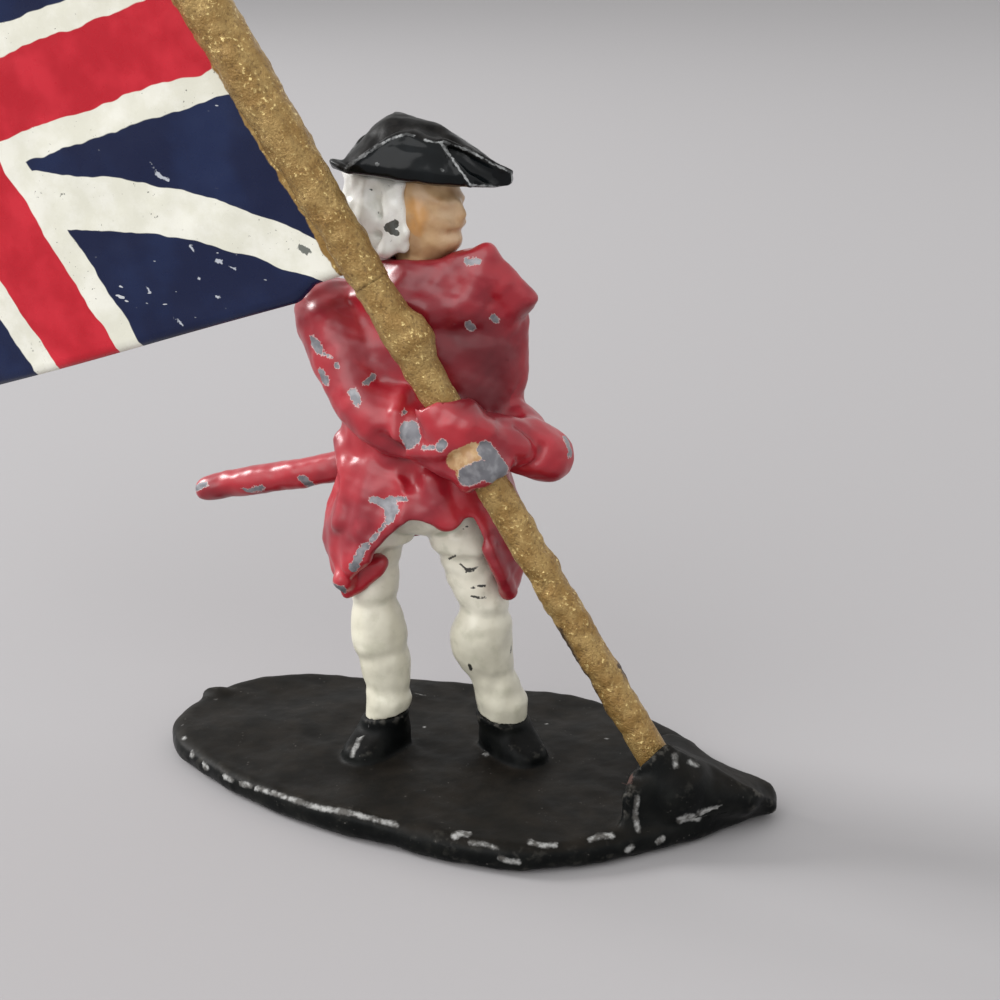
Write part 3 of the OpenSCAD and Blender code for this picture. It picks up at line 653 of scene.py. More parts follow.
def hat_paint():
    p = Paint("hat_black_paint")
    relief = p.attr("relief")
    dull = p.step(p.attr("dull"), 0.2, 0.8)
    gloss = p.mottle((2.5, 2), 0.4, 0.65, (0.002, 0.003, 0.0035), (0.004, 0.0055, 0.0065))
    matt = p.mottle((0.8, 4, 0.6), 0.4, 0.66, (0.003, 0.0027, 0.0025), (0.009, 0.0079, 0.0071))
    colour = p.mix(dull, gloss, matt)
    edge = p.times(p.step(relief, 0.14, 0.26), p.step(p.noise(0.5, 3), 0.42, 0.60))
    colour = p.mix(p.times(edge, 0.35), colour, (0.16, 0.16, 0.16))
    # Worn paint shows pale grey; along the near flap's rim that grey line is a painted highlight
    wear_and_highlight = p.step(p.ragged("chip", 0.26, 0.20), -0.03, 0.05)
    bare = p.mottle((1.0, 2), 0.4, 0.64, (0.06, 0.062, 0.062), (0.38, 0.39, 0.39))
    p.set(Base_Color=p.mix(p.times(wear_and_highlight, 0.85), colour, bare), Specular_IOR_Level=0.10)
    rough = p.ramp(dull, 0.22, 0.24)
    p.set(Roughness=p.ramp(wear_and_highlight, 0.2, rough))
    height = p.ramp(p.noise(0.25, 3, 0.6), p.times(dull, 0.5), p.noise(0.8, 2))
    p.set(Normal=p.bump(height, 0.05, 0.5))
    p.set(Coat_Weight=p.ramp(dull, -0.2, 0.2), Coat_Roughness=0.15)
    return p.material


def black_paint(name, top_colours, gloss):
    p = Paint(name)
    relief = p.attr("relief")
    # Painted light: faces that look up get a paler top colour than the sides, as if lit from above
    flat = p.step(p.attr("flat"), 0.3, 0.9)
    edge_colour = p.mottle((2.0, 2), 0.4, 0.65, (0.0025, 0.003, 0.003), (0.0055, 0.006, 0.0055))
    top_colour = p.mottle((3.2, 4, 0.6), 0.34, 0.68, *top_colours)
    colour = p.mix(flat, edge_colour, top_colour)
    dust = p.times(p.step(p.noise(0.35, 3), 0.66, 0.74), p.step(p.noise(2.4, 2), 0.50, 0.62))
    colour = p.mix(p.times(dust, 0.4), colour, (0.15, 0.14, 0.13))
    # Paler raised edges: worn paint, and a painted highlight along the edges
    edge = p.times(p.step(relief, 0.12, 0.30), p.step(p.noise(0.7, 3), 0.50, 0.68))
    colour = p.mix(p.times(edge, 0.35), colour, (0.16, 0.15, 0.13))
    # Worn paint shows grey metal; along the lit rim and at glints on the front edge the grey is a painted
    # highlight
    inside = p.ragged("chip", 0.26, 0.16)
    wear_and_highlight = p.times(p.step(inside, -0.16, 0.14), 0.9)
    grey = p.mottle((0.7, 3), 0.38, 0.64, (0.09, 0.086, 0.08), (0.36, 0.36, 0.35))
    colour = p.mix(wear_and_highlight, colour, grey)
    colour = p.mix(p.step(p.ragged("rust", 0.5, 0.3), -0.05, 0.1), colour, (0.075, 0.042, 0.035))
    p.set(Base_Color=colour, Specular_IOR_Level=0.09)
    rough = p.ramp(flat, 0.52 - gloss, gloss)
    p.set(Roughness=p.ramp(p.noise(0.9, 3), 0.12, rough))
    height = p.ramp(wear_and_highlight, -0.5, p.noise(0.5, 4, 0.6))
    p.set(Normal=p.bump(height, 0.06, 0.4))
    return p.material


GOLD_DARK = (0.12, 0.064, 0.018)
GOLD_MID = (0.27, 0.155, 0.042)
GOLD_PALE = (0.37, 0.24, 0.083)
# Painted glint: the flakes' glitter as near-white gold
GOLD_GLINT = (0.95, 0.74, 0.32)


def gold_colour(p):
    """The lumpy gold paint's colour, and the grain and glittering flakes in it; the flakes' near-white gold is
    a painted glint.
    """
    broad = p.mottle((1.8, 3), 0.36, 0.66, GOLD_MID, GOLD_PALE)
    grain = p.noise(0.34, 4, 0.68)
    colour = p.mix(p.times(p.step(grain, 0.48, 0.34), 0.6), broad, GOLD_DARK)
    flake = p.times(p.step(grain, 0.52, 0.62), p.step(p.cells(0.2, "Color"), 0.5, 0.8))
    flake = p.times(flake, p.step(p.noise(1.3, 3), 0.38, 0.60))
    return p.mix(p.times(flake, 0.9), colour, GOLD_GLINT), grain, flake


def gold_paint():
    p = Paint("pole_gold_paint")
    colour, grain, flake = gold_colour(p)
    # Painted shade: darker gold along the pole's shaded left edge
    grime = p.step(p.ragged("grime", 0.7, 0.4), -0.1, 0.25)
    p.set(Base_Color=p.mix(grime, colour, (0.06, 0.035, 0.020)), Roughness=p.ramp(flake, -0.16, 0.42))
    p.set(Normal=p.bump(p.ramp(p.cells(0.2, "Distance"), 0.3, grain), 0.16, 0.8), Metallic=0.4)
    return p.material


# Where the flag's colours meet, in mm along the fly and up the hoist
FLAG_FLY = 54.2
FLAG_HOIST = 48.1
RED_HALF = 3.35
WHITE_HALF = 5.75
CROSS_U = 28.05
# The diagonal's middle line in one quarter: height, climb, where from, bend and where the bend is nought again
SALTIRE = (3.8, 0.827, 3.9, -0.02295, 9.4)
SALTIRE_HALF = 2.72
# From here on the diagonal runs straight
SALTIRE_TURN = 15.5
GOLD_REACH = 2.12
# Half the width over which two of the flag's colours run together
COLOUR_EDGE = 0.05
WOBBLE = 1.3


def within(p, distance, half):
    """1 where a distance is less than half a band's width."""
    return p.step(distance, half + COLOUR_EDGE, half - COLOUR_EDGE)


def flag_paint():
    p = Paint("flag_union_paint")
    split = p.tree.nodes.new("ShaderNodeSeparateColor")
    p.put(split.inputs[0], p.noise(3.5, 2, 0.5, output=1))
    u = p.ramp(p.less(split.outputs[0], 0.5), WOBBLE, p.attr("fly"))
    v = p.ramp(p.less(split.outputs[1], 0.5), WOBBLE, p.attr("hoist"))
    du = p.calc("ABSOLUTE", p.less(u, CROSS_U))
    dv = p.calc("ABSOLUTE", p.less(v, FLAG_HOIST / 2))
    # One quarter stands for all four: distance from the nearer hoist or fly end and from the nearer edge
    qu = p.less(CROSS_U, du)
    qv = p.less(FLAG_HOIST / 2, dv)
    near = p.calc("MINIMUM", qu, SALTIRE_TURN)
    height, climb, start, bend, again = SALTIRE
    line = p.ramp(p.less(near, start), climb, height)
    line = p.ramp(p.times(p.less(near, start), p.less(near, again)), bend, line)
    past = climb + bend * (2 * SALTIRE_TURN - start - again)
    line = p.ramp(p.calc("MAXIMUM", p.less(qu, SALTIRE_TURN), 0.0), past, line)
    arm = p.calc("MINIMUM", du, dv)
    navy = p.mottle((5.0, 3), 0.35, 0.66, (0.004, 0.009, 0.042), (0.007, 0.016, 0.062))
    white = p.mottle((3.0, 4, 0.6), 0.38, 0.66, (0.74, 0.73, 0.62), (0.83, 0.82, 0.73))
    speck = p.times(p.step(p.noise(0.30, 2), 0.69, 0.73), p.step(p.noise(2.6, 2), 0.46, 0.58))
    white = p.mix(speck, white, (0.20, 0.20, 0.17))
    red = p.mottle((3.5, 3), 0.36, 0.66, (0.47, 0.010, 0.022), (0.58, 0.020, 0.036))
    stretch = p.tree.nodes.new("ShaderNodeMapping")
    p.put(stretch.inputs["Vector"], p.place)
    p.put(stretch.inputs["Rotation"], (0.0, 0.5, 0.0))
    p.put(stretch.inputs["Scale"], (0.32, 1.0, 1.0))
    scratch = p.step(p.noise(0.42, 1, 0.4, at=stretch.outputs[0]), 0.735, 0.755)
    scratch = p.times(scratch, p.step(p.noise(6.0, 1), 0.46, 0.56))
    navy = p.mix(p.times(scratch, 0.9), navy, (0.62, 0.64, 0.66))
    colour = p.mix(within(p, p.calc("ABSOLUTE", p.less(qv, line)), SALTIRE_HALF), navy, white)
    colour = p.mix(within(p, arm, WHITE_HALF), colour, white)
    colour = p.mix(within(p, arm, RED_HALF), colour, red)
    scuff = p.step(p.ragged("scuff", 0.25, 0.2), -0.03, 0.03)
    colour = p.mix(p.times(scuff, 0.85), colour, (0.55, 0.58, 0.63))
    chip = p.step(p.ragged("chip", 0.3, 0.3), -0.02, 0.04)
    colour = p.mix(chip, colour, (0.16, 0.17, 0.15))
    slop = p.step(p.ramp(p.noise(1.5, 3), 0.9, p.attr("fly")), GOLD_REACH + 0.55, GOLD_REACH + 0.40)
    p.set(Base_Color=p.mix(slop, colour, gold_colour(p)[0]))
    p.set(Roughness=p.ramp(p.noise(1.2, 3), 0.16, 0.20))
    p.set(Normal=p.bump(p.noise(1.6, 2, 0.5), 0.05, 0.3), Specular_IOR_Level=0.3)
    return p.material


# The red casting: coat, skirts, collar, arms and fists grow into one another

RED = ["coat_body", "right_coat_skirt", "left_coat_skirt", "cape_collar",
       "right_sleeve", "left_sleeve", "right_hand", "left_hand"]
RED_BLEND = 0.9
RED_ROUGH = [(6.0, 0.11), (2.8, 0.045), (1.2, 0.012)]
# Room for the pole below the fists, in them, above them and about the flag's sleeve
POLE_WAY = [(-5, 27.6, 1.75), (27.6, 36.2, 1.52), (36.2, 48, 2.2), (38.5, 45, 2.6), (46.8, 60, 2.3)]
RED_RIDGES = [
    ([(403, 396), (397, 415), (396, 438), (402, 451)], 0.75, 0.35, 0.5),
    ([(402, 451), (425, 452), (446, 450)], 0.6, 0.3, 0.5),
    ([(446, 405), (470, 425), (500, 440), (522, 445)], 0.8, 0.4, 0.8),
    ([(345, 440), (352, 480), (345, 520)], 1.0, 0.7, 1.0),
    ([(372, 470), (366, 500), (362, 530)], 1.0, 0.7, 1.0),
    ([(430, 480), (437, 505), (445, 522)], 1.0, 0.7, 1.0),
    ([(398, 305), (430, 311), (470, 312), (505, 309)], 1.3, 1.0, 1.2),
]
RED_GROOVES = [
    ([(404, 462), (408, 473), (411, 484)], 0.8, -0.5, 0.6),
    ([(340, 430), (380, 440), (395, 452)], 0.8, -0.4, 0.8),
    ([(518, 426), (531, 436), (542, 447)], 0.45, -0.12, 0.4),
    ([(542, 447), (538, 459), (526, 469)], 0.4, -0.12, 0.35),
    ([(452, 252), (466, 253), (478, 250)], 1.1, 0.2, 0.4),
]
# The collar's point, its slanting edge, its two fills and its fold, the left elbow and the cuff over the pole
RED_LIMBS = [
    ([(2.9, -1.7, 48.4), (3.5, -1.65, 50.0)], [0.85, 0.5], 0.6),
    ([(3.4, -1.5, 49.8), (5.35, -1.0, 47.6), (6.85, -0.8, 46.05)], [0.55, 0.68, 0.6], 0.8),
    ([(1.6, -1.0, 48.0), (3.6, -0.8, 47.1), (5.2, -0.5, 45.7)], [1.2, 1.6, 1.3], 0.9),
    ([(3.2, -1.4, 48.4), (4.5, -1.3, 47.0), (5.7, -1.0, 45.9)], [1.0, 1.25, 0.95], 1.0),
    ([(3.3, -1.7, 49.3), (3.0, -2.0, 47.7), (2.2, -2.2, 45.9)], [0.65, 1.0, 1.2], 1.1),
    ([(6.9, -1.6, 33.4), (8.5, -1.5, 32.8)], [2.1, 2.25], 0.6),
    ([(0.0, -7.6, 37.4), (1.0, -7.9, 37.6), (2.0, -7.4, 37.6)], [1.0, 1.0, 1.0], 0.8),
]
# The skirts' hems over the thighs
HEM = [
    ([(336, 586), (349, 591), (362, 582), (373, 570), (381, 561)], 0.6, 0.15, 0.5),
    ([(343, 580), (357, 575), (370, 563)], 1.0, 0.5, 0.7),
    ([(350, 566), (362, 556)], 0.9, 0.6, 0.7),
    ([(490, 548), (502, 575), (509, 592)], 0.75, 0.4, 0.5),
]
RED_CHIPS_AND_SHEEN = [
    ([(312, 339), (318, 347), (321, 352)], 3.6), ([(322, 352), (332, 357)], 1.5), ([(337, 366)], 3.2),
    # The mark at (366, 383) is a painted sheen, a pale spot where the red shows a pink sheen
    ([(321, 372), (326, 381)], 3.2), ([(366, 383), (373, 377)], 2.6), ([(353, 393), (357, 402)], 4.2),
    ([(409, 430), (411, 437)], 9.8), ([(404, 412)], 3), ([(399, 447), (412, 446)], 2.6),
    ([(424, 447), (434, 448)], 1.9), ([(440, 448), (443, 444)], 4.6), ([(468, 324), (471, 327)], 3.4),
    ([(494, 317), (496, 320)], 3.0), ([(468, 262), (478, 261)], 3.2), ([(374, 500), (383, 502)], 3.8),
    ([(390, 503), (391, 510)], 7.4), ([(399, 499), (406, 499)], 2.8), ([(393, 516), (389, 521)], 3.8),
    ([(387, 522), (380, 530)], 1.5), ([(376, 535), (371, 541)], 2.4), ([(366, 546), (360, 554)], 3.6),
    ([(357, 560), (352, 572)], 4.2), ([(325, 578), (333, 588), (343, 590)], 3),
    ([(566, 438), (571, 455)], 2.0),
]
# Painted shade on the chest, under the collar and between the pole and the arms
CHEST_PAINTED_SHADE = [([(468, 338), (495, 352), (492, 395), (470, 395)], 26)]
HAND_CHIPS = [([(485, 449), (492, 458), (500, 470)], 8), ([(468, 476), (482, 470), (497, 474)], 10)]
HAND_FLESH = [([(456, 460), (475, 452)], 10), ([(462, 475)], 6)]

RED_SPOTS = dict(count=5, low=0.15, high=0.5, behind=0.5, above=0.0)

red_grid = Grid((-16.6, -11.2, 16.6), (11.6, 8.6, 52.4))
red_own = {name: solid(red_grid, name) for name in RED}
red = limbs(red_grid, blur(merge(red_own, RED_BLEND), 1), RED_LIMBS)
red = strokes(red_grid, red, RED, RED_RIDGES)
red = strokes(red_grid, red, RED + ["breeches", "right_gaiter", "left_gaiter"], HEM)
red = strokes(red_grid, red, RED, RED_GROOVES, carve)
red = roughen(red_grid, red, 11, RED_ROUGH)
red = np.maximum(red, -pole_room(red_grid, POLE_WAY))

coat_material = red_paint()
hand_material = hand_paint()
for k, name in enumerate(RED):
    points, faces, normals, relief = cast(red_grid, red, share_of(red_own, name))
    chips = np.maximum(marks(points, normals, RED_CHIPS_AND_SHEEN), spots(points, 40 + k, **RED_SPOTS))
    # The deep attribute carries the painted shade on the chest
    looks = dict(normals=normals, relief=relief, deep=marks(points, normals, CHEST_PAINTED_SHADE, DEEP_ROOM))
    slot, material = "coat_red", coat_material
    if name.endswith("hand"):
        chips = np.maximum(chips, marks(points, normals, HAND_CHIPS, WIDE_ROOM))
        looks["flesh"] = marks(points, normals, HAND_FLESH, WIDE_ROOM)
        slot, material = "face_tan" if name == "right_hand" else "coat_red", hand_material
    piece(name, points, faces, slot, [material], chip=chips, **looks)

SHEATH_ROUGH = [(3.5, 0.06), (1.6, 0.015)]
SHEATH_CHIPS = [([(195, 488), (205, 484)], 3), ([(240, 492), (262, 488)], 2.5), ([(300, 478), (310, 484)], 3)]
sheath_grid = Grid((-30.5, 1, 21.5), (-7, 8, 32))
sheath = roughen(sheath_grid, blur(solid(sheath_grid, "scabbard"), 2), 21, SHEATH_ROUGH)
points, faces, normals, relief = cast(sheath_grid, sheath)
piece("scabbard", points, faces, "coat_red", [coat_material], normals=normals, relief=relief,
      chip=marks(points, normals, SHEATH_CHIPS), deep=np.full(len(points), OUTSIDE))


# The legs

# What the picture shows down each leg, in its pixels: the row, and the leg's left and right edge there. Where a
# skirt or a shoe hides an edge, it is chosen.
RIGHT_EDGES = [
    (559.4, 344.6, 399.4), (579.8, 347.5, 398.9), (600, 351.6, 397.4), (615, 350.5, 403), (632, 350, 407.5),
    (645, 352.8, 409.2), (660, 359, 411), (672, 363.5, 410.5), (683, 366, 410.2), (697, 365.8, 413.2),
    (706.7, 365.2, 410.4),
]
LEFT_EDGES = [
    (530.6, 427.5, 487.7), (545.4, 433.8, 493.8), (556.4, 438.2, 496), (568.3, 444.3, 500.9),
    (580.3, 447.5, 502.9), (596.1, 454.8, 508.8), (610, 458.4, 510), (620, 453.5, 511), (632, 450.8, 512),
    (645, 450.7, 512.8), (655, 453, 513.5), (665, 459, 515), (672, 468, 516), (680, 471.8, 519.5),
    (690, 474, 523.6), (698, 475.5, 528), (706, 476.5, 527), (716, 478, 526.7), (723.7, 481.9, 527.1),
]
# The right leg's hidden ends, as rings of (x, y, z, radius)
RIGHT_TOP = (-7.9, 0.1, 24.5, 2.7)
RIGHT_FOOT = (-6.9, -1.1, 5.6, 1.95)
KNEE_Z = 17.6
# Across the base the legs part from one middle: none at the fork, some at the knees, most at the feet
LEGS_Y = 0.3
FORK_Z = 30.6
FOOT_Z = 5.4
FOOT_OUT = 1.45
KNEE_OUT = 0.35 * FOOT_OUT
SOLVE_STEPS = 20
# The thighs' cream, painted paler as painted light against the shade under the coat, gives way to the gaiters'
# darker cream over this height
KNEE_FADE = 5
HIP_Z = 23.0
# The shoes' upper edge: its height, the x between the legs, and each leg's climb and where it starts
ANKLE_Z = 5.9
BETWEEN_X = -1.6
RIGHT_CLIMB, RIGHT_FROM = 0.26, -8.0
LEFT_CLIMB, LEFT_FROM = -0.2, 5.4
LEG_ROUGH = [(5.0, 0.06), (2.2, 0.025), (1.0, 0.006)]
LEG_SPOTS = dict(count=6, low=0.05, high=0.16, behind=1.5, above=0.0)
CREAM_CRACKS = [
    ([(449, 559), (455, 556)], 1.0), ([(459, 563), (466, 569), (472, 569), (478, 567)], 1.1),
    ([(466, 572), (474, 570)], 1.0), ([(472, 588), (478, 586), (486, 586)], 0.9),
    ([(472, 596), (479, 598), (485, 597)], 1.3), ([(469, 665), (471, 669)], 1.7),
    ([(512, 646), (512, 652)], 1.4), ([(463, 529), (468, 526)], 1.0),
]

# Creases round each leg: height, climb across the leg, depth, half width
RIGHT_CREASES = [
    (19.6, 0.35, 0.16, 0.35), (17.0, 0.15, 0.22, 0.4), (12.2, 0.2, 0.2, 0.4), (8.7, -0.1, 0.14, 0.4),
]
LEFT_CREASES = [
    (22.4, 0.15, 0.24, 0.4), (20.4, -0.1, 0.16, 0.35), (17.0, -0.2, 0.26, 0.4), (11.0, -0.2, 0.22, 0.4),
    (8.9, -0.1, 0.1, 0.35),
]


def leg_rings(edges, side):
    """Rings of (x, y, z, radius), to a hundredth, that the picture shows between a leg's edges. How far out
    the leg's middle lies depends on its height, so the two are found in steps."""
    rings = []
    for row, left, right in edges:
        ray = look((left + right) / 2, row)
        z = KNEE_Z
        for _ in range(SOLVE_STEPS):
            y = LEGS_Y + side * np.interp(z, (FOOT_Z, KNEE_Z, FORK_Z), (FOOT_OUT, KNEE_OUT, 0))
            reach = (y - CAM_AT[1]) / ray[1]
            x, y, z = CAM_AT + reach * ray
        rings.append(np.round((x, y, z, (right - left) / 2 * reach / CAM_F), 2))
    return rings


def leg(grid, rings, creases):
    """A leg that is round between its rings, with its creases."""
    rings = np.array(rings)[::-1]
    x, y, r = (np.interp(grid.ax[2], rings[:, 2], rings[:, k]) for k in (0, 1, 3))
    across = np.sqrt((grid.x - x) ** 2 + (grid.y - y) ** 2) - r
    for z, climb, depth, wide in creases:
        across = across + depth * np.exp(-(((grid.z - z) - climb * (grid.x - x)) / wide) ** 2)
    return np.maximum(across, grid.z - rings[-1, 2]).astype(np.float32)


def ankle(grid):
    """Height above the line where the shoes end: it climbs inward on both legs."""
    right, left = RIGHT_CLIMB * (grid.x - RIGHT_FROM), LEFT_CLIMB * (grid.x - LEFT_FROM)
    return grid.z - ANKLE_Z - np.where(grid.x < BETWEEN_X, right, left)


RIGHT_LEG = [RIGHT_TOP, *leg_rings(RIGHT_EDGES, -1), RIGHT_FOOT]
LEFT_LEG = leg_rings(LEFT_EDGES, 1)
leg_grid = Grid((-13, -7, 4.2), (8, 7.5, 33))
right_leg = blur(leg(leg_grid, RIGHT_LEG, RIGHT_CREASES), 2)
left_leg = blur(leg(leg_grid, LEFT_LEG, LEFT_CREASES), 2)
hips = np.maximum(solid(leg_grid, "breeches"), HIP_Z - leg_grid.z)
cream = join(join(right_leg, left_leg, 0.6), blur(hips, 2), 1.2)
cream = np.maximum(roughen(leg_grid, cream, 31, LEG_ROUGH), -ankle(leg_grid))
cream_material = cream_paint()
LEG_PARTS = {
    "breeches": KNEE_Z - leg_grid.z,
    "right_gaiter": np.maximum(leg_grid.z - KNEE_Z, right_leg - left_leg),
    "left_gaiter": np.maximum(leg_grid.z - KNEE_Z, left_leg - right_leg),
}
for k, (name, part) in enumerate(LEG_PARTS.items()):
    points, faces, normals, relief = cast(leg_grid, cream, part - SEAM)
    chips = np.maximum(marks(points, normals, CREAM_CRACKS), spots(points, 60 + k, **LEG_SPOTS))
    piece(name, points, faces, "leg_cream", [cream_material], normals=normals, relief=relief, chip=chips,
          thigh=np.clip((points[:, 2] - KNEE_Z) / KNEE_FADE + 0.5, 0, 1))


# The head, wig and hat

HEAD_TURN = math.radians(-14)
HEAD_COS, HEAD_SIN = math.cos(HEAD_TURN), math.sin(HEAD_TURN)
HEAD_AT = np.array([-3.2, 0.3])
HEAD_AHEAD = 0.576
NECK_TOP = 49.0
FACE_BACK = 3.0
HAT_Z = 55.6
HAT_TILT = math.radians(5)
HAT_H = 5.5


def head_local(at, z0, tilt=0.0):
    """How far places lie ahead of, beside and above the head's middle, in a frame tilted on the head."""
    px, py, pz = at[0] - HEAD_AT[0], at[1] - HEAD_AT[1], at[2] - z0
    qx, qy = px * HEAD_COS + py * HEAD_SIN - HEAD_AHEAD, -px * HEAD_SIN + py * HEAD_COS
    ct, st = math.cos(tilt), math.sin(tilt)
    return qx * ct - pz * st, qy, qx * st + pz * ct


def head_place(x, y, z):
    """The world's point for one ahead of, beside and above the head's middle."""
    return np.array([HEAD_AT[0] + (x + HEAD_AHEAD) * HEAD_COS - y * HEAD_SIN,
                     HEAD_AT[1] + (x + HEAD_AHEAD) * HEAD_SIN + y * HEAD_COS, z])


def on_head(rows):
    """Rows of limbs in the head's frame, turned to the world's; a paired one comes again on the other side."""
    return [([head_place(x, side * y, z) for x, y, z in path], radii, soft)
            for path, radii, soft, *paired in rows for side in ((1, -1) if paired else (1,))]


PAIRED = True
# Rings of the face: height, reach ahead, half width
FACE_RINGS = [
    (48.9, 1.6, 1.6), (49.2, 2.0, 1.8), (49.5, 2.8, 2.0), (50.0, 3.25, 2.2), (50.65, 3.4, 2.4),
    (51.15, 3.2, 2.5), (51.7, 3.38, 2.6), (52.2, 3.25, 2.68), (52.7, 3.3, 2.72), (53.4, 3.45, 2.75),
    (54.1, 3.2, 2.7), (54.7, 2.85, 2.65), (55.9, 2.7, 2.6),
]
# The nose, the brow, the mouth, the cheeks and the ears, and the hollows at the eyes and under the mouth
FACE_FORMS = [
    ([(3.2, 0, 53.6), (3.8, 0, 52.75), (3.4, 0, 52.4)], [0.32, 0.38, 0.4], 0.5),
    ([(2.5, -1.7, 53.75), (3.1, -0.8, 53.85), (3.25, 0, 53.7), (3.1, 0.8, 53.85), (2.5, 1.7, 53.75)],
     [0.28] * 5, 0.6),
    ([(2.95, -0.9, 51.65), (3.2, 0, 51.7), (2.95, 0.9, 51.65)], [0.26] * 3, 0.5),
    ([(2.0, -1.75, 52.2), (2.6, -1.3, 52.0)], [0.65, 0.5], 0.6, PAIRED),
    ([(0.9, -2.45, 53.0), (1.15, -2.5, 52.3), (0.85, -2.3, 51.5)], [0.42, 0.45, 0.35], 0.3, PAIRED),
]
FACE_CUTS = [
    ([(2.95, -1.8, 53.05), (3.5, -1.0, 53.1)], [0.38, 0.38], 0.6, PAIRED),
    ([(3.0, -1.1, 51.2), (3.5, 0, 51.2), (3.0, 1.1, 51.2)], [0.16] * 3, 0.5),
]
FACE_ROUGH = [(3.0, 0.05), (1.3, 0.02)]
EAR = [([(415, 206), (420, 215), (416, 230)], 9)]
# Painted highlights on the cheek and the chin
CHEEK_AND_CHIN_HIGHLIGHTS = [([(447, 212), (455, 205)], 9), ([(445, 238), (455, 240)], 6)]

head_grid = Grid((-7.5, -5.5, 44), (3.5, 5.5, 58), HEAD_PITCH)
fx, fy, _ = head_local(head_grid.all, 0.0)
ring_z, ring_ahead, ring_half = zip(*FACE_RINGS)
ahead, half = np.interp(head_grid.ax[2], ring_z, ring_ahead), np.interp(head_grid.ax[2], ring_z, ring_half)
face = (np.sqrt((fx / np.where(fx > 0, ahead, FACE_BACK)) ** 2 + (fy / half) ** 2) - 1) * half
face = np.maximum(face, np.maximum(ring_z[0] - head_grid.z, head_grid.z - ring_z[-1])).astype(np.float32)
neck = np.maximum(blur(solid(head_grid, "head"), 2), head_grid.z - NECK_TOP)
face = limbs(head_grid, join(blur(face, 2), neck, 0.5), on_head(FACE_FORMS))
face = blur(limbs(head_grid, face, on_head(FACE_CUTS), carve), 2)
face = roughen(head_grid, face, 41, FACE_ROUGH)
points, faces, normals, relief = cast(head_grid, face)
piece("head", points, faces, "face_tan", [face_paint()], normals=normals, relief=relief,
      ear=marks(points, normals, EAR), cheek=marks(points, normals, CHEEK_AND_CHIN_HIGHLIGHTS))

# The wig's front edge, its back, its sides and the curl at its lower end
WIG_FORMS = [
    ([(-1.0, -2.55, 55.0), (-0.9, -2.65, 53.4), (-0.55, -2.6, 51.4), (-0.9, -2.4, 49.9)],
     [0.6, 0.6, 0.6, 0.5], 0.6, PAIRED),
    ([(-4.2, 0, 54.4), (-6.3, 0, 54.7), (-5.7, 0, 52.6), (-4.7, 0, 50.9)], [2.3, 2.0, 1.9, 1.8], 0.9),
    ([(-1.9, -2.5, 54.6), (-1.8, -2.55, 52.6), (-1.8, -2.4, 50.6)], [0.9, 0.95, 0.95], 0.7, PAIRED),
    ([(-1.9, -2.9, 49.8), (-2.9, -2.4, 49.6), (-3.6, -1.6, 49.9)], [0.75, 0.8, 0.8], 0.5),
]
WIG_GROOVES = [
    ([(378, 236), (390, 240), (402, 240)], 0.28, 0.0, 0.3), ([(372, 190), (380, 215)], 0.4, 0.1, 0.6),
]
WIG_ROUGH = [(2.6, 0.10), (1.2, 0.03)]
WIG_CHIPS = [
    ([(388, 228), (395, 224)], 4.5), ([(392, 232), (396, 233)], 3), ([(371, 190)], 1.5),
    ([(379, 213)], 1.5),
]
# The wig goes on this far under the hat
WIG_UNDER = 0.5

wig_grid = Grid((-13, -5, 47.5), (-0.7, 8, 58), HEAD_PITCH)
wig = limbs(wig_grid, blur(solid(wig_grid, "wig"), 2), on_head(WIG_FORMS))
wig = np.maximum(wig, wig_grid.z - HAT_Z - WIG_UNDER)
wig = strokes(wig_grid, wig, ["wig"], WIG_GROOVES, carve)
wig = roughen(wig_grid, wig, 43, WIG_ROUGH)
points, faces, normals, relief = cast(wig_grid, wig)
piece("wig", points, faces, "wig_white", [wig_paint()], normals=normals, relief=relief,
      chip=marks(points, normals, WIG_CHIPS))

# The rim of the near flap as the picture shows it; the far flap mirrors it, and the back one is lower
RIM_PATH = [
    (347, 171), (355, 162), (370, 152), (383, 142), (395, 136), (410, 135), (421, 139), (432, 142),
    (443, 143), (460, 150), (475, 157), (490, 165), (504, 172),
]
RIM_BEHIND = [(math.radians(160), HAT_H * 0.42), (math.pi, HAT_H * 0.5)]
# The crown stands back behind the rim and swells again towards its top
RIM_SOFT = 0.12
CROWN_BACK = 0.62
CROWN_SWELL = 0.34
SWELL_FROM, SWELL_OVER = 3.0, 1.8
# The bead on the rim: its radius, how deep its middle lies and how much it is flattened
BEAD_R = 0.34
BEAD_DEEP = 0.12
BEAD_FLAT = 0.9
# The fold from the crown to the front point, above the hat's foot
HAT_FOLD = [(-1.2, 0, 4.4), (1.4, 0, 3.35), (4.1, 0, 2.0)]
HAT_FOLD_R = [1.0, 0.95, 0.95]
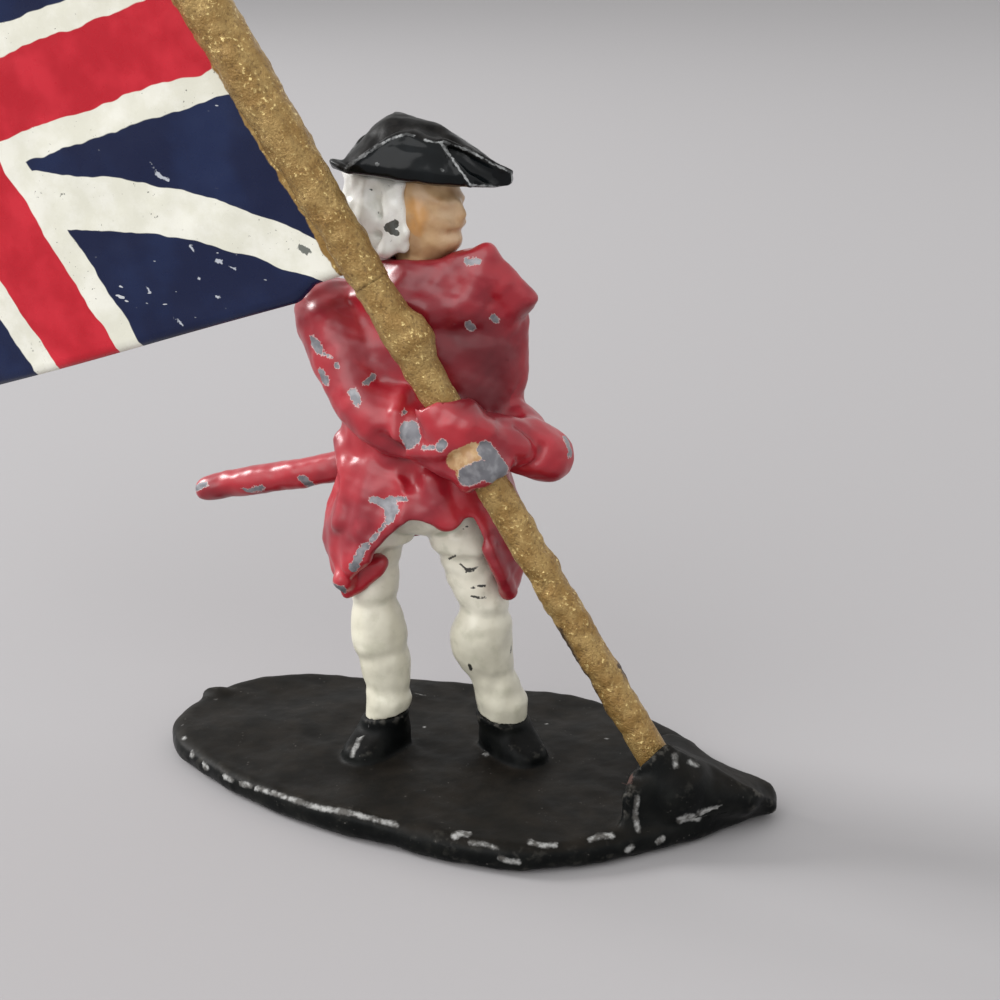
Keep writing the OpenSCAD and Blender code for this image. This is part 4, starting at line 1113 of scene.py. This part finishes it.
# The crown's outline as the picture shows it, and the two lines that bound it behind
CROWN = [(363, 133), (395, 111), (441, 125), (491, 158), (513, 173)]
CROWN_BEHIND = [((345, 157), (363, 133)), ((325, 159), (345, 160))]
HAT_TROUGH = [([(455, 152), (475, 165), (495, 176), (506, 182)], 0.85, -0.1, 0.35)]
FOLD_EDGE = [(440, 142), (455, 163), (470, 184)]
FRONT_EDGE = [(443, 141), (470, 151), (492, 163), (511, 172)]
HAT_RIMS = [(FOLD_EDGE, 0.26, 0.0, 0.25), (FRONT_EDGE, 0.26, 0.0, 0.25)]
HAT_ROUGH = [(3.0, 0.04), (1.2, 0.012)]
HAT_WEAR_AND_RIM_HIGHLIGHT = [
    (FOLD_EDGE, 1.3), (FRONT_EDGE, 1.1), ([(424, 140), (440, 143)], 0.9),
    # A painted highlight along the near flap's rim
    ([(345, 169), (358, 159), (375, 148), (392, 138), (406, 134), (414, 136)], 1.2),
    ([(470, 185), (508, 188)], 1.2), ([(512, 172), (513, 186)], 1.2), ([(377, 164)], 2), ([(442, 170)], 1.8),
]

hat_grid = Grid((-12.5, -8.5, 53.5), (8.5, 9.5, 63), HEAD_PITCH)
lx, ly, lz = head_local(hat_grid.all, HAT_Z, HAT_TILT)
hat = blur(solid(hat_grid, "tricorne_hat"), 1)
rim = []
for px, py in RIM_PATH:
    seen = sight(px, py, ["tricorne_hat"])
    if seen is not None:
        fx, fy, fz = head_local(seen, HAT_Z, HAT_TILT)
        rim.append((abs(math.atan2(fy, fx)), fz))
rim = sorted(rim) + RIM_BEHIND
rim = [r for k, r in enumerate(rim) if k == 0 or r[0] > rim[k - 1][0] + 1e-3]
rim_z = np.interp(np.abs(np.arctan2(ly, lx)), *zip(*rim))
bead = np.sqrt((hat + BEAD_DEEP) ** 2 + ((lz - rim_z) * BEAD_FLAT) ** 2) - BEAD_R
above = 1 / (1 + np.exp(-(lz - rim_z) / RIM_SOFT))
lift = np.clip((lz - SWELL_FROM) / SWELL_OVER, 0, 1)
hat = hat + CROWN_BACK * above - CROWN_SWELL * lift * lift * (3 - 2 * lift)
fold = chain(hat_grid, [head_place(x, y, HAT_Z + z) for x, y, z in HAT_FOLD], HAT_FOLD_R)
hat = join(join(hat, bead, 0.25), fold, 1.0)
outside = np.minimum.reduce([over_line(hat_grid, *line) for line in CROWN_BEHIND])
for line in zip(CROWN, CROWN[1:]):
    outside = np.maximum(outside, over_line(hat_grid, *line))
hat = carve(hat, -outside, 0.5)
hat = strokes(hat_grid, hat, ["tricorne_hat"], HAT_TROUGH, carve)
hat = strokes(hat_grid, hat, ["tricorne_hat"], HAT_RIMS)
hat = np.maximum(roughen(hat_grid, hat, 45, HAT_ROUGH), -lz)
points, faces, normals, relief = cast(hat_grid, hat)
piece("tricorne_hat", points, faces, "hat_black", [hat_paint()], normals=normals, relief=relief,
      chip=marks(points, normals, HAT_WEAR_AND_RIM_HIGHLIGHT, WIDE_ROOM), dull=sample(above.astype(np.float32), hat_grid, points))


# The black casting: base, rock and shoes

BLACK = ["base_plate", "pole_rock", "right_shoe", "left_shoe"]
BLACK_BLEND = 0.8
BLACK_ROUGH = [(9.0, 0.10), (3.0, 0.03), (1.3, 0.008)]
BLACK_SPOTS = dict(count=14, low=0.1, high=0.5, behind=4.0, above=0.3)
# The shoe's cuff about the gaiter: its wall, how far it laps over and where it starts
CUFF_WALL = 0.22
CUFF_LAP = 0.1
CUFF_Z = 3.6
# A knob on the plate's far end
KNOB_AT, KNOB_R = (-27.5, 5.4, 2.3), (1.7, 1.0, 0.8)
# The gold ends along the first line of the picture, and the rock falls to the right along the second
GOLD_END = [((640, 768), (667, 742)), ((667, 742), (704, 763))]
ROCK_FROM, ROCK_TO = -3, 2
ROCK_R = (3.4, 2.3)
ROCK_RIDGES = [
    ([(20.6, -4.4, 6.9), (23.2, -2.8, 5.0), (26.1, -1.9, 4.2), (27.4, -1.2, 3.5), (29.1, -0.2, 1.4)],
     [1.4, 1.1, 1.0, 0.8, 0.45]),
    ([(22.0, -5.4, 4.6), (24.4, -4.4, 3.9), (27.0, -2.6, 2.8)], [1.5, 1.3, 0.9]),
]
ROCK_BACK = [([(18.9, -4.2, 5.2), (18.8, -2.6, 4.4), (18.8, -0.8, 3.0)], [1.1, 1.3, 1.0], 0.8)]
SOCKET_ROOM = [(-3.05, 6, 1.48)]
BASE_WEAR_AND_HIGHLIGHTS = [
    ([(208, 692), (215, 697)], 1.8), ([(181, 722)], 2.4), ([(455, 836), (461, 832), (468, 834)], 3.2),
    ([(470, 842), (483, 844), (497, 848)], 1.6), ([(500, 858), (508, 861), (518, 862)], 2.2),
    ([(530, 842), (543, 846), (556, 845)], 2.0), ([(590, 840), (600, 836), (612, 836)], 2.4),
    ([(628, 850), (632, 847)], 2.4), ([(658, 842), (663, 838)], 2.2),
    # Painted glints on the front edge
    ([(680, 820), (690, 817), (697, 818)], 3.0), ([(700, 813), (712, 810), (724, 808)], 2.6),
    ([(637, 797), (635, 815), (638, 831)], 2.0), ([(674, 755), (676, 766)], 2.2),
    ([(690, 762), (697, 765)], 2.0), ([(585, 705), (600, 703)], 2.2), ([(590, 713), (604, 712)], 2.2),
    ([(583, 727), (598, 732), (607, 736)], 2.6), ([(366, 726), (360, 738), (352, 755)], 1.9),
    ([(478, 750), (486, 754)], 1.6), ([(412, 690), (424, 694)], 1.6),
]
# The rim's pale line, in short steps, since a mark lies on one depth: bare metal where the paint is rubbed off,
# and a painted highlight along the lit rim
RIM_WEAR_AND_HIGHLIGHT = [
    (181, 722), (184, 738), (192, 755), (206, 768), (231, 780), (250, 786), (267, 791), (285, 797),
    (303, 803), (320, 808), (340, 811), (359, 815), (378, 820), (396, 825),
]
BASE_WEAR_AND_HIGHLIGHTS += [(pair, 2.2) for pair in zip(RIM_WEAR_AND_HIGHLIGHT, RIM_WEAR_AND_HIGHLIGHT[1:])]
BASE_RUST = [([(612, 737), (622, 760), (627, 778)], 7)]

base_grid = Grid((-31, -18, -0.75), (31, 18.5, 10.25), BASE_PITCH)
base_own = {name: solid(base_grid, name) for name in BLACK}
for name, rings in (("right_shoe", RIGHT_LEG), ("left_shoe", LEFT_LEG)):
    cuff = np.maximum(ankle(base_grid) - CUFF_LAP, CUFF_Z - base_grid.z)
    cuff = np.maximum(leg(base_grid, rings, []) - CUFF_WALL, cuff)
    base_own[name] = join(base_own[name], cuff, 0.5)
base = blur(merge(base_own, BLACK_BLEND), 1)
base = join(base, egg(base_grid, KNOB_AT, KNOB_R), 0.5)
gold_end, rock_fall = (over_line(base_grid, *line) for line in GOLD_END)
rock = cone(base_grid, POLE_FOOT + ROCK_FROM * POLE_DIR, POLE_FOOT + ROCK_TO * POLE_DIR, *ROCK_R)
rock = np.maximum(np.maximum(rock, gold_end), rock_fall)
ridge = np.maximum(join(*(chain(base_grid, *row) for row in ROCK_RIDGES), 2.0), rock_fall)
base = join(join(base, np.maximum(ridge, -base_grid.z), 1.6), np.maximum(rock, -base_grid.z), 0.6)
base = roughen(base_grid, limbs(base_grid, base, ROCK_BACK), 51, BLACK_ROUGH)
base = np.maximum(np.maximum(base, -base_grid.z), -pole_room(base_grid, SOCKET_ROOM))

base_material = black_paint("base_black_paint", ((0.005, 0.0044, 0.0034), (0.011, 0.009, 0.0068)), 0.3)
shoe_material = black_paint("shoe_black_paint", ((0.003, 0.0031, 0.003), (0.006, 0.0057, 0.005)), 0.38)
for k, name in enumerate(BLACK):
    points, faces, normals, relief = cast(base_grid, base, share_of(base_own, name))
    chips = np.maximum(marks(points, normals, BASE_WEAR_AND_HIGHLIGHTS), spots(points, 70 + k, **BLACK_SPOTS))
    slot, material = ("shoe_black", shoe_material) if name.endswith("shoe") else ("base_black", base_material)
    # flat is the normal's upward share, which places the painted light on the tops
    piece(name, points, faces, slot, [material], normals=normals, relief=relief, chip=chips,
          flat=normals[:, 2], rust=marks(points, normals, BASE_RUST))


# The standard: pole, finial and flag turn as one

POLE_LEN = 97.3
POLE_R = 1.45
SOCKET = 3.0
RING_STEP = 0.3
AROUND = 64
AROUND_T = np.arange(AROUND) * 2 * math.pi / AROUND
AROUND_WAY = np.cos(AROUND_T)[:, None] * POLE_SIDE + np.sin(AROUND_T)[:, None] * POLE_BACK
POLE_ROUGH = [(4.0, 0.05), (1.5, 0.035), (0.7, 0.02)]
# Along the pole: how much thicker it is over the fists, the lump on its right side and where it may be rough
POLE_SWELL = [
    (35.6, 0), (38, 0.12), (40.5, 0.24), (43, 0.24), (45.6, 0.1), (46.8, 0.06), (47.4, 0.06), (47.7, 0),
]
POLE_LUMP = [(39.4, 0), (40.6, 0.5), (41.3, 0.75), (42.8, 0.75), (44.0, 0)]
POLE_LUMP_POWER = 1.5
POLE_FREE = [
    (-3, 0), (2.2, 0), (3.0, 1), (27.2, 1), (27.8, 0), (36.1, 0), (36.7, 1), (46.8, 1), (47.4, 0),
    (97.3, 0),
]
# Painted shade along the pole's left edge
POLE_PAINTED_SHADE = [
    ([(556, 632), (574, 664), (590, 692)], 7), ([(592, 694), (606, 722), (620, 752), (626, 768)], 6),
    ([(622, 666), (628, 676)], 5),
]


def along(s, table):
    """A value between the rows of a table of (place, value)."""
    return np.interp(s, *zip(*table))


def tube(s, radii, ring=False):
    """A skin about the pole's axis with a row of radii for each s, closed at both ends or into a ring."""
    points = ((POLE_FOOT + s[:, None] * POLE_DIR)[:, None] + radii[:, :, None] * AROUND_WAY).reshape(-1, 3)
    rows = np.arange(len(points)).reshape(-1, AROUND)
    low, high = (rows, np.roll(rows, -1, 0)) if ring else (rows[:-1], rows[1:])
    tiles = np.stack([low, np.roll(low, -1, 1), np.roll(high, -1, 1), high], 2).reshape(-1, 4).tolist()
    if not ring:
        for k, rim in ((0, rows[0][::-1]), (-1, rows[-1])):
            middle = len(points)
            points = np.concatenate([points, [POLE_FOOT + s[k] * POLE_DIR]])
            tiles += [[middle, a, b] for a, b in zip(rim.tolist(), np.roll(rim, -1).tolist())]
    return points, tiles


def uneven(s, radii, seed, rough):
    """Adds lumps to a tube's radii."""
    spread = (np.cos(AROUND_T) * POLE_R, np.sin(AROUND_T) * POLE_R, s[:, None])
    at = np.stack([np.broadcast_to(part, radii.shape) for part in spread], 2).reshape(-1, 3)
    return radii + sum(h * lumps(at, w, seed + k) for k, (w, h) in enumerate(rough)).reshape(radii.shape)


gold_material = gold_paint()
s = np.arange(-SOCKET, POLE_LEN + 0.01, RING_STEP)
lump = along(s, POLE_LUMP)[:, None] * np.maximum(0, np.cos(AROUND_T)) ** POLE_LUMP_POWER
radii = np.full((len(s), AROUND), POLE_R) + along(s, POLE_SWELL)[:, None] + lump
rough = uneven(s, radii, 81, POLE_ROUGH) - radii
points, faces = tube(s, radii + rough * along(s, POLE_FREE)[:, None])
piece("flag_pole", points, faces, "pole_gold", [gold_material], body="standard",
      grime=marks(points, CAM_AT - points, POLE_PAINTED_SHADE, WIDE_ROOM))

FINIAL_LEN = 8.0
FINIAL_R = 2.3
FINIAL_SHARES = [
    (0, 0.62), (0.1, 0.62), (0.16, 0.5), (0.3, 0.92), (0.38, 1), (0.7, 0.55), (0.96, 0.14), (0.995, 0.05),
]
FINIAL_ROUGH = [(2.5, 0.03), (1.0, 0.015)]
FINIAL_TIP_R = 0.03
share = np.concatenate([[0.0], np.linspace(0.004, 0.996, 60)])
profile = along(share, FINIAL_SHARES) * FINIAL_R
for _ in range(2):
    profile[1:-1] = (profile[:-2] + 2 * profile[1:-1] + profile[2:]) / 4
radii = uneven(share * FINIAL_LEN, np.repeat(profile[:, None], AROUND, 1), 85, FINIAL_ROUGH)
points, faces = tube(POLE_LEN + share * FINIAL_LEN, np.maximum(radii, FINIAL_TIP_R))
piece("pole_finial", points, faces, "pole_gold", [gold_material], body="standard",
      grime=np.full(len(points), OUTSIDE))

# The flag's sheet in the pole's own frame: across the pole, square to the sheet and along the pole
FLAG_FOOT = 47.2
FLAG_T = 0.9
FLAG_TURN = math.radians(4)
FLAG_RISE = 0.23
FLAG_WAVE = 0.8
FLAG_WAVES = 1.5
WAVE_FROM = 1.7
SHEET_FROM = 1.2
SHEET_ROWS, SHEET_COLUMNS = 110, 100
# Its edges are rounded over one width, and its bumps run out over another
EDGE_ROUND = 0.45
EDGE_SMOOTH = 0.6
EDGE_THIN_SHARE = 0.02
# Its lower corner at the pole is trimmed round the shoulder
FLAG_TRIM = [(0, 1.3), (4.5, 1.15), (5.8, 0.5), (6.8, 0)]
FLAG_ROUGH = [(9.0, 0.05, 91), (3.0, 0.02, 92)]
# The two sides' bumps are taken this far to each side
SIDE_OFF = 9.0
# The pole's frame: a turn forward and then a lean
LEAN, FORWARD = math.radians(-30.9), math.radians(2.75)
lc, ls, fc, fs = math.cos(LEAN), math.sin(LEAN), math.cos(FORWARD), math.sin(FORWARD)
POLE_FRAME = np.array([[lc, 0, ls], [0, 1, 0], [-ls, 0, lc]]) @ np.array([[1, 0, 0], [0, fc, -fs], [0, fs, fc]])

fly = SHEET_FROM + (FLAG_FLY - SHEET_FROM) * np.linspace(0, 1, SHEET_ROWS)
U, V = np.meshgrid(fly, FLAG_HOIST * np.linspace(0, 1, SHEET_COLUMNS), indexing="ij")
trim = along(U, FLAG_TRIM)
V = trim + V * (FLAG_HOIST - trim) / FLAG_HOIST
wave_share = (U - WAVE_FROM) / (FLAG_FLY - WAVE_FROM)
bow = FLAG_WAVE * wave_share * np.sin(2 * math.pi * FLAG_WAVES * wave_share)
edge = np.minimum(np.minimum(V - trim, FLAG_HOIST - V), FLAG_FLY - U)
edge_share = np.clip(edge / EDGE_ROUND, EDGE_THIN_SHARE, 1)
half = FLAG_T / 2 * np.sqrt(edge_share * (2 - edge_share))
sheet = []
for side in (-1, 1):
    at = np.stack([U, V, np.full(U.shape, side * SIDE_OFF)], 2).reshape(-1, 3)
    bumpy = sum(h * lumps(at, w, seed) for w, h, seed in FLAG_ROUGH).reshape(U.shape)
    out = bow + side * half + bumpy * np.clip(edge / EDGE_SMOOTH, 0, 1)
    x = -math.cos(FLAG_TURN) * U + math.sin(FLAG_TURN) * out
    y = math.sin(FLAG_TURN) * U + math.cos(FLAG_TURN) * out
    z = FLAG_FOOT + V + FLAG_RISE * U
    sheet.append(np.stack([x, y, z], 2).reshape(-1, 3) @ POLE_FRAME.T + POLE_FOOT)
index = np.arange(U.size).reshape(U.shape)
front = np.stack([index[:-1, :-1], index[1:, :-1], index[1:, 1:], index[:-1, 1:]], 2).reshape(-1, 4)
back = front[:, ::-1] + U.size
border = np.concatenate([index[:, 0], index[-1, 1:], index[-2::-1, -1], index[0, -2:0:-1]])
after = np.roll(border, -1)
wall = np.stack([border, border + U.size, after + U.size, after], 1)
sheet_faces = np.concatenate([front, back, wall]).tolist()
sheet_points = np.concatenate(sheet)

# The gold sleeve that holds it, a ring about the pole
SLEEVE_R = [(0, 1.53), (1.5, 1.58), (6, 1.68), (10, 1.78), (14, 1.95), (25, 2.05), (FLAG_HOIST, 1.95)]
SLEEVE_LEAST, SLEEVE_MOST = 1.52, 2.3
SLEEVE_BORE = POLE_R + 0.02
SLEEVE_ROUGH = [(4.0, 0.06), (1.5, 0.04), (0.7, 0.02)]
# The groove along it: its place about the pole, its depth, its width and where it begins
GROOVE_T = -0.73
GROOVE_DEEP = 0.16
GROOVE_WIDE = 0.05
GROOVE_FROM = [(6, 0), (12, 1)]
v = np.linspace(0, FLAG_HOIST, 150)
groove = np.exp(-((AROUND_T - GROOVE_T + math.pi) % (2 * math.pi) - math.pi) ** 2 / GROOVE_WIDE)
outer = along(v, SLEEVE_R)[:, None] - groove * GROOVE_DEEP * along(v, GROOVE_FROM)[:, None]
outer = np.clip(uneven(v, outer, 95, SLEEVE_ROUGH), SLEEVE_LEAST, SLEEVE_MOST)
inner = np.full((1, AROUND), SLEEVE_BORE)
ring_s = FLAG_FOOT + np.concatenate([[0.0], v, [FLAG_HOIST]])
sleeve_points, sleeve_faces = tube(ring_s, np.concatenate([inner, outer, inner]), ring=True)

FLAG_CHIPS = [
    ([(301, 248), (308, 252)], 3.6), ([(293, 240)], 2.2), ([(312, 266)], 1.8), ([(315, 273)], 1.8),
    ([(190, 205)], 1.3), ([(194, 222)], 1.3),
]
FLAG_SCUFFS = [
    ([(143, 156), (152, 167)], 1.6), ([(153, 170), (159, 177), (169, 180)], 1.7), ([(188, 146)], 1.5),
    ([(215, 260), (224, 263)], 2.0), ([(234, 267), (238, 270)], 1.6), ([(197, 278), (201, 279)], 1.5),
    ([(214, 281), (218, 282)], 1.5), ([(216, 296), (222, 298)], 1.5), ([(210, 306), (214, 307)], 1.5),
    ([(224, 308), (228, 309)], 1.4), ([(181, 302), (185, 303)], 1.4), ([(145, 286), (151, 292)], 1.3),
    ([(170, 312), (177, 320), (183, 327)], 1.5), ([(190, 243), (194, 251)], 1.6),
]
points = np.concatenate([sheet_points, sleeve_points])
faces = sheet_faces + [[i + len(sheet_points) for i in f] for f in sleeve_faces]
no_sheet = np.zeros(len(sleeve_points))
flag = piece("flag", points, faces, "flag_colours", [flag_paint(), gold_material], body="standard",
             fly=np.concatenate([U.ravel(), U.ravel(), no_sheet]),
             hoist=np.concatenate([V.ravel(), V.ravel(), no_sheet]),
             chip=marks(points, CAM_AT - points, FLAG_CHIPS, WIDE_ROOM),
             scuff=marks(points, CAM_AT - points, FLAG_SCUFFS, WIDE_ROOM), grime=np.full(len(points), OUTSIDE))
which = np.zeros(len(faces), np.int32)
which[len(sheet_faces):] = 1
flag.data.polygons.foreach_set("material_index", which)


# The stage

FLOOR_SIDE = 16.0
me = bpy.data.meshes.new("floor")
h = FLOOR_SIDE / 2
me.from_pydata([(-h, -h, 0), (h, -h, 0), (h, h, 0), (-h, h, 0)], [], [(0, 1, 2, 3)])
floor = bpy.data.objects.new("floor", me)
scene.collection.objects.link(floor)
floor_paint = Paint("floor_paint")
floor_paint.set(Base_Color=(0.34, 0.33, 0.335), Roughness=0.9, Specular_IOR_Level=0.1)
me.materials.append(floor_paint.material)


LAMP_AIM = Vector((0.0, 0.0, 0.03))


def lamp(name, direction, distance, size, watts):
    """A round soft lamp that looks at the figure's middle, in metres."""
    light = bpy.data.lights.new(name, "AREA")
    light.shape = "DISK"
    light.size = size
    light.energy = watts
    ob = bpy.data.objects.new(name, light)
    d = Vector(direction).normalized()
    ob.location = LAMP_AIM + d * distance
    ob.rotation_euler = d.to_track_quat("Z", "Y").to_euler()
    scene.collection.objects.link(ob)


lamp("key", (-0.88, 0.02, 0.50), 1.5, 0.5, 20.5)
lamp("fill", (-0.35, -0.8, 0.55), 1.8, 1.8, 16.5)

world = bpy.data.worlds.new("studio")
scene.world = world
world.use_nodes = True
sky = world.node_tree.nodes["Background"]
sky.inputs["Color"].default_value = (1.0, 1.0, 1.0, 1.0)
sky.inputs["Strength"].default_value = 0.95

lens = bpy.data.cameras.new("camera")
lens.sensor_width = SENSOR
lens.lens = CAM_F * SENSOR / IMAGE_SIDE
lens.clip_start, lens.clip_end = 0.005, 20.0
camera = bpy.data.objects.new("camera", lens)
camera.location = Vector(CAM_AT) * MM
camera.rotation_euler = (math.pi / 2 - CAM_PITCH, 0.0, CAM_YAW)
scene.collection.objects.link(camera)
scene.camera = camera
scene.view_settings.view_transform = "Standard"
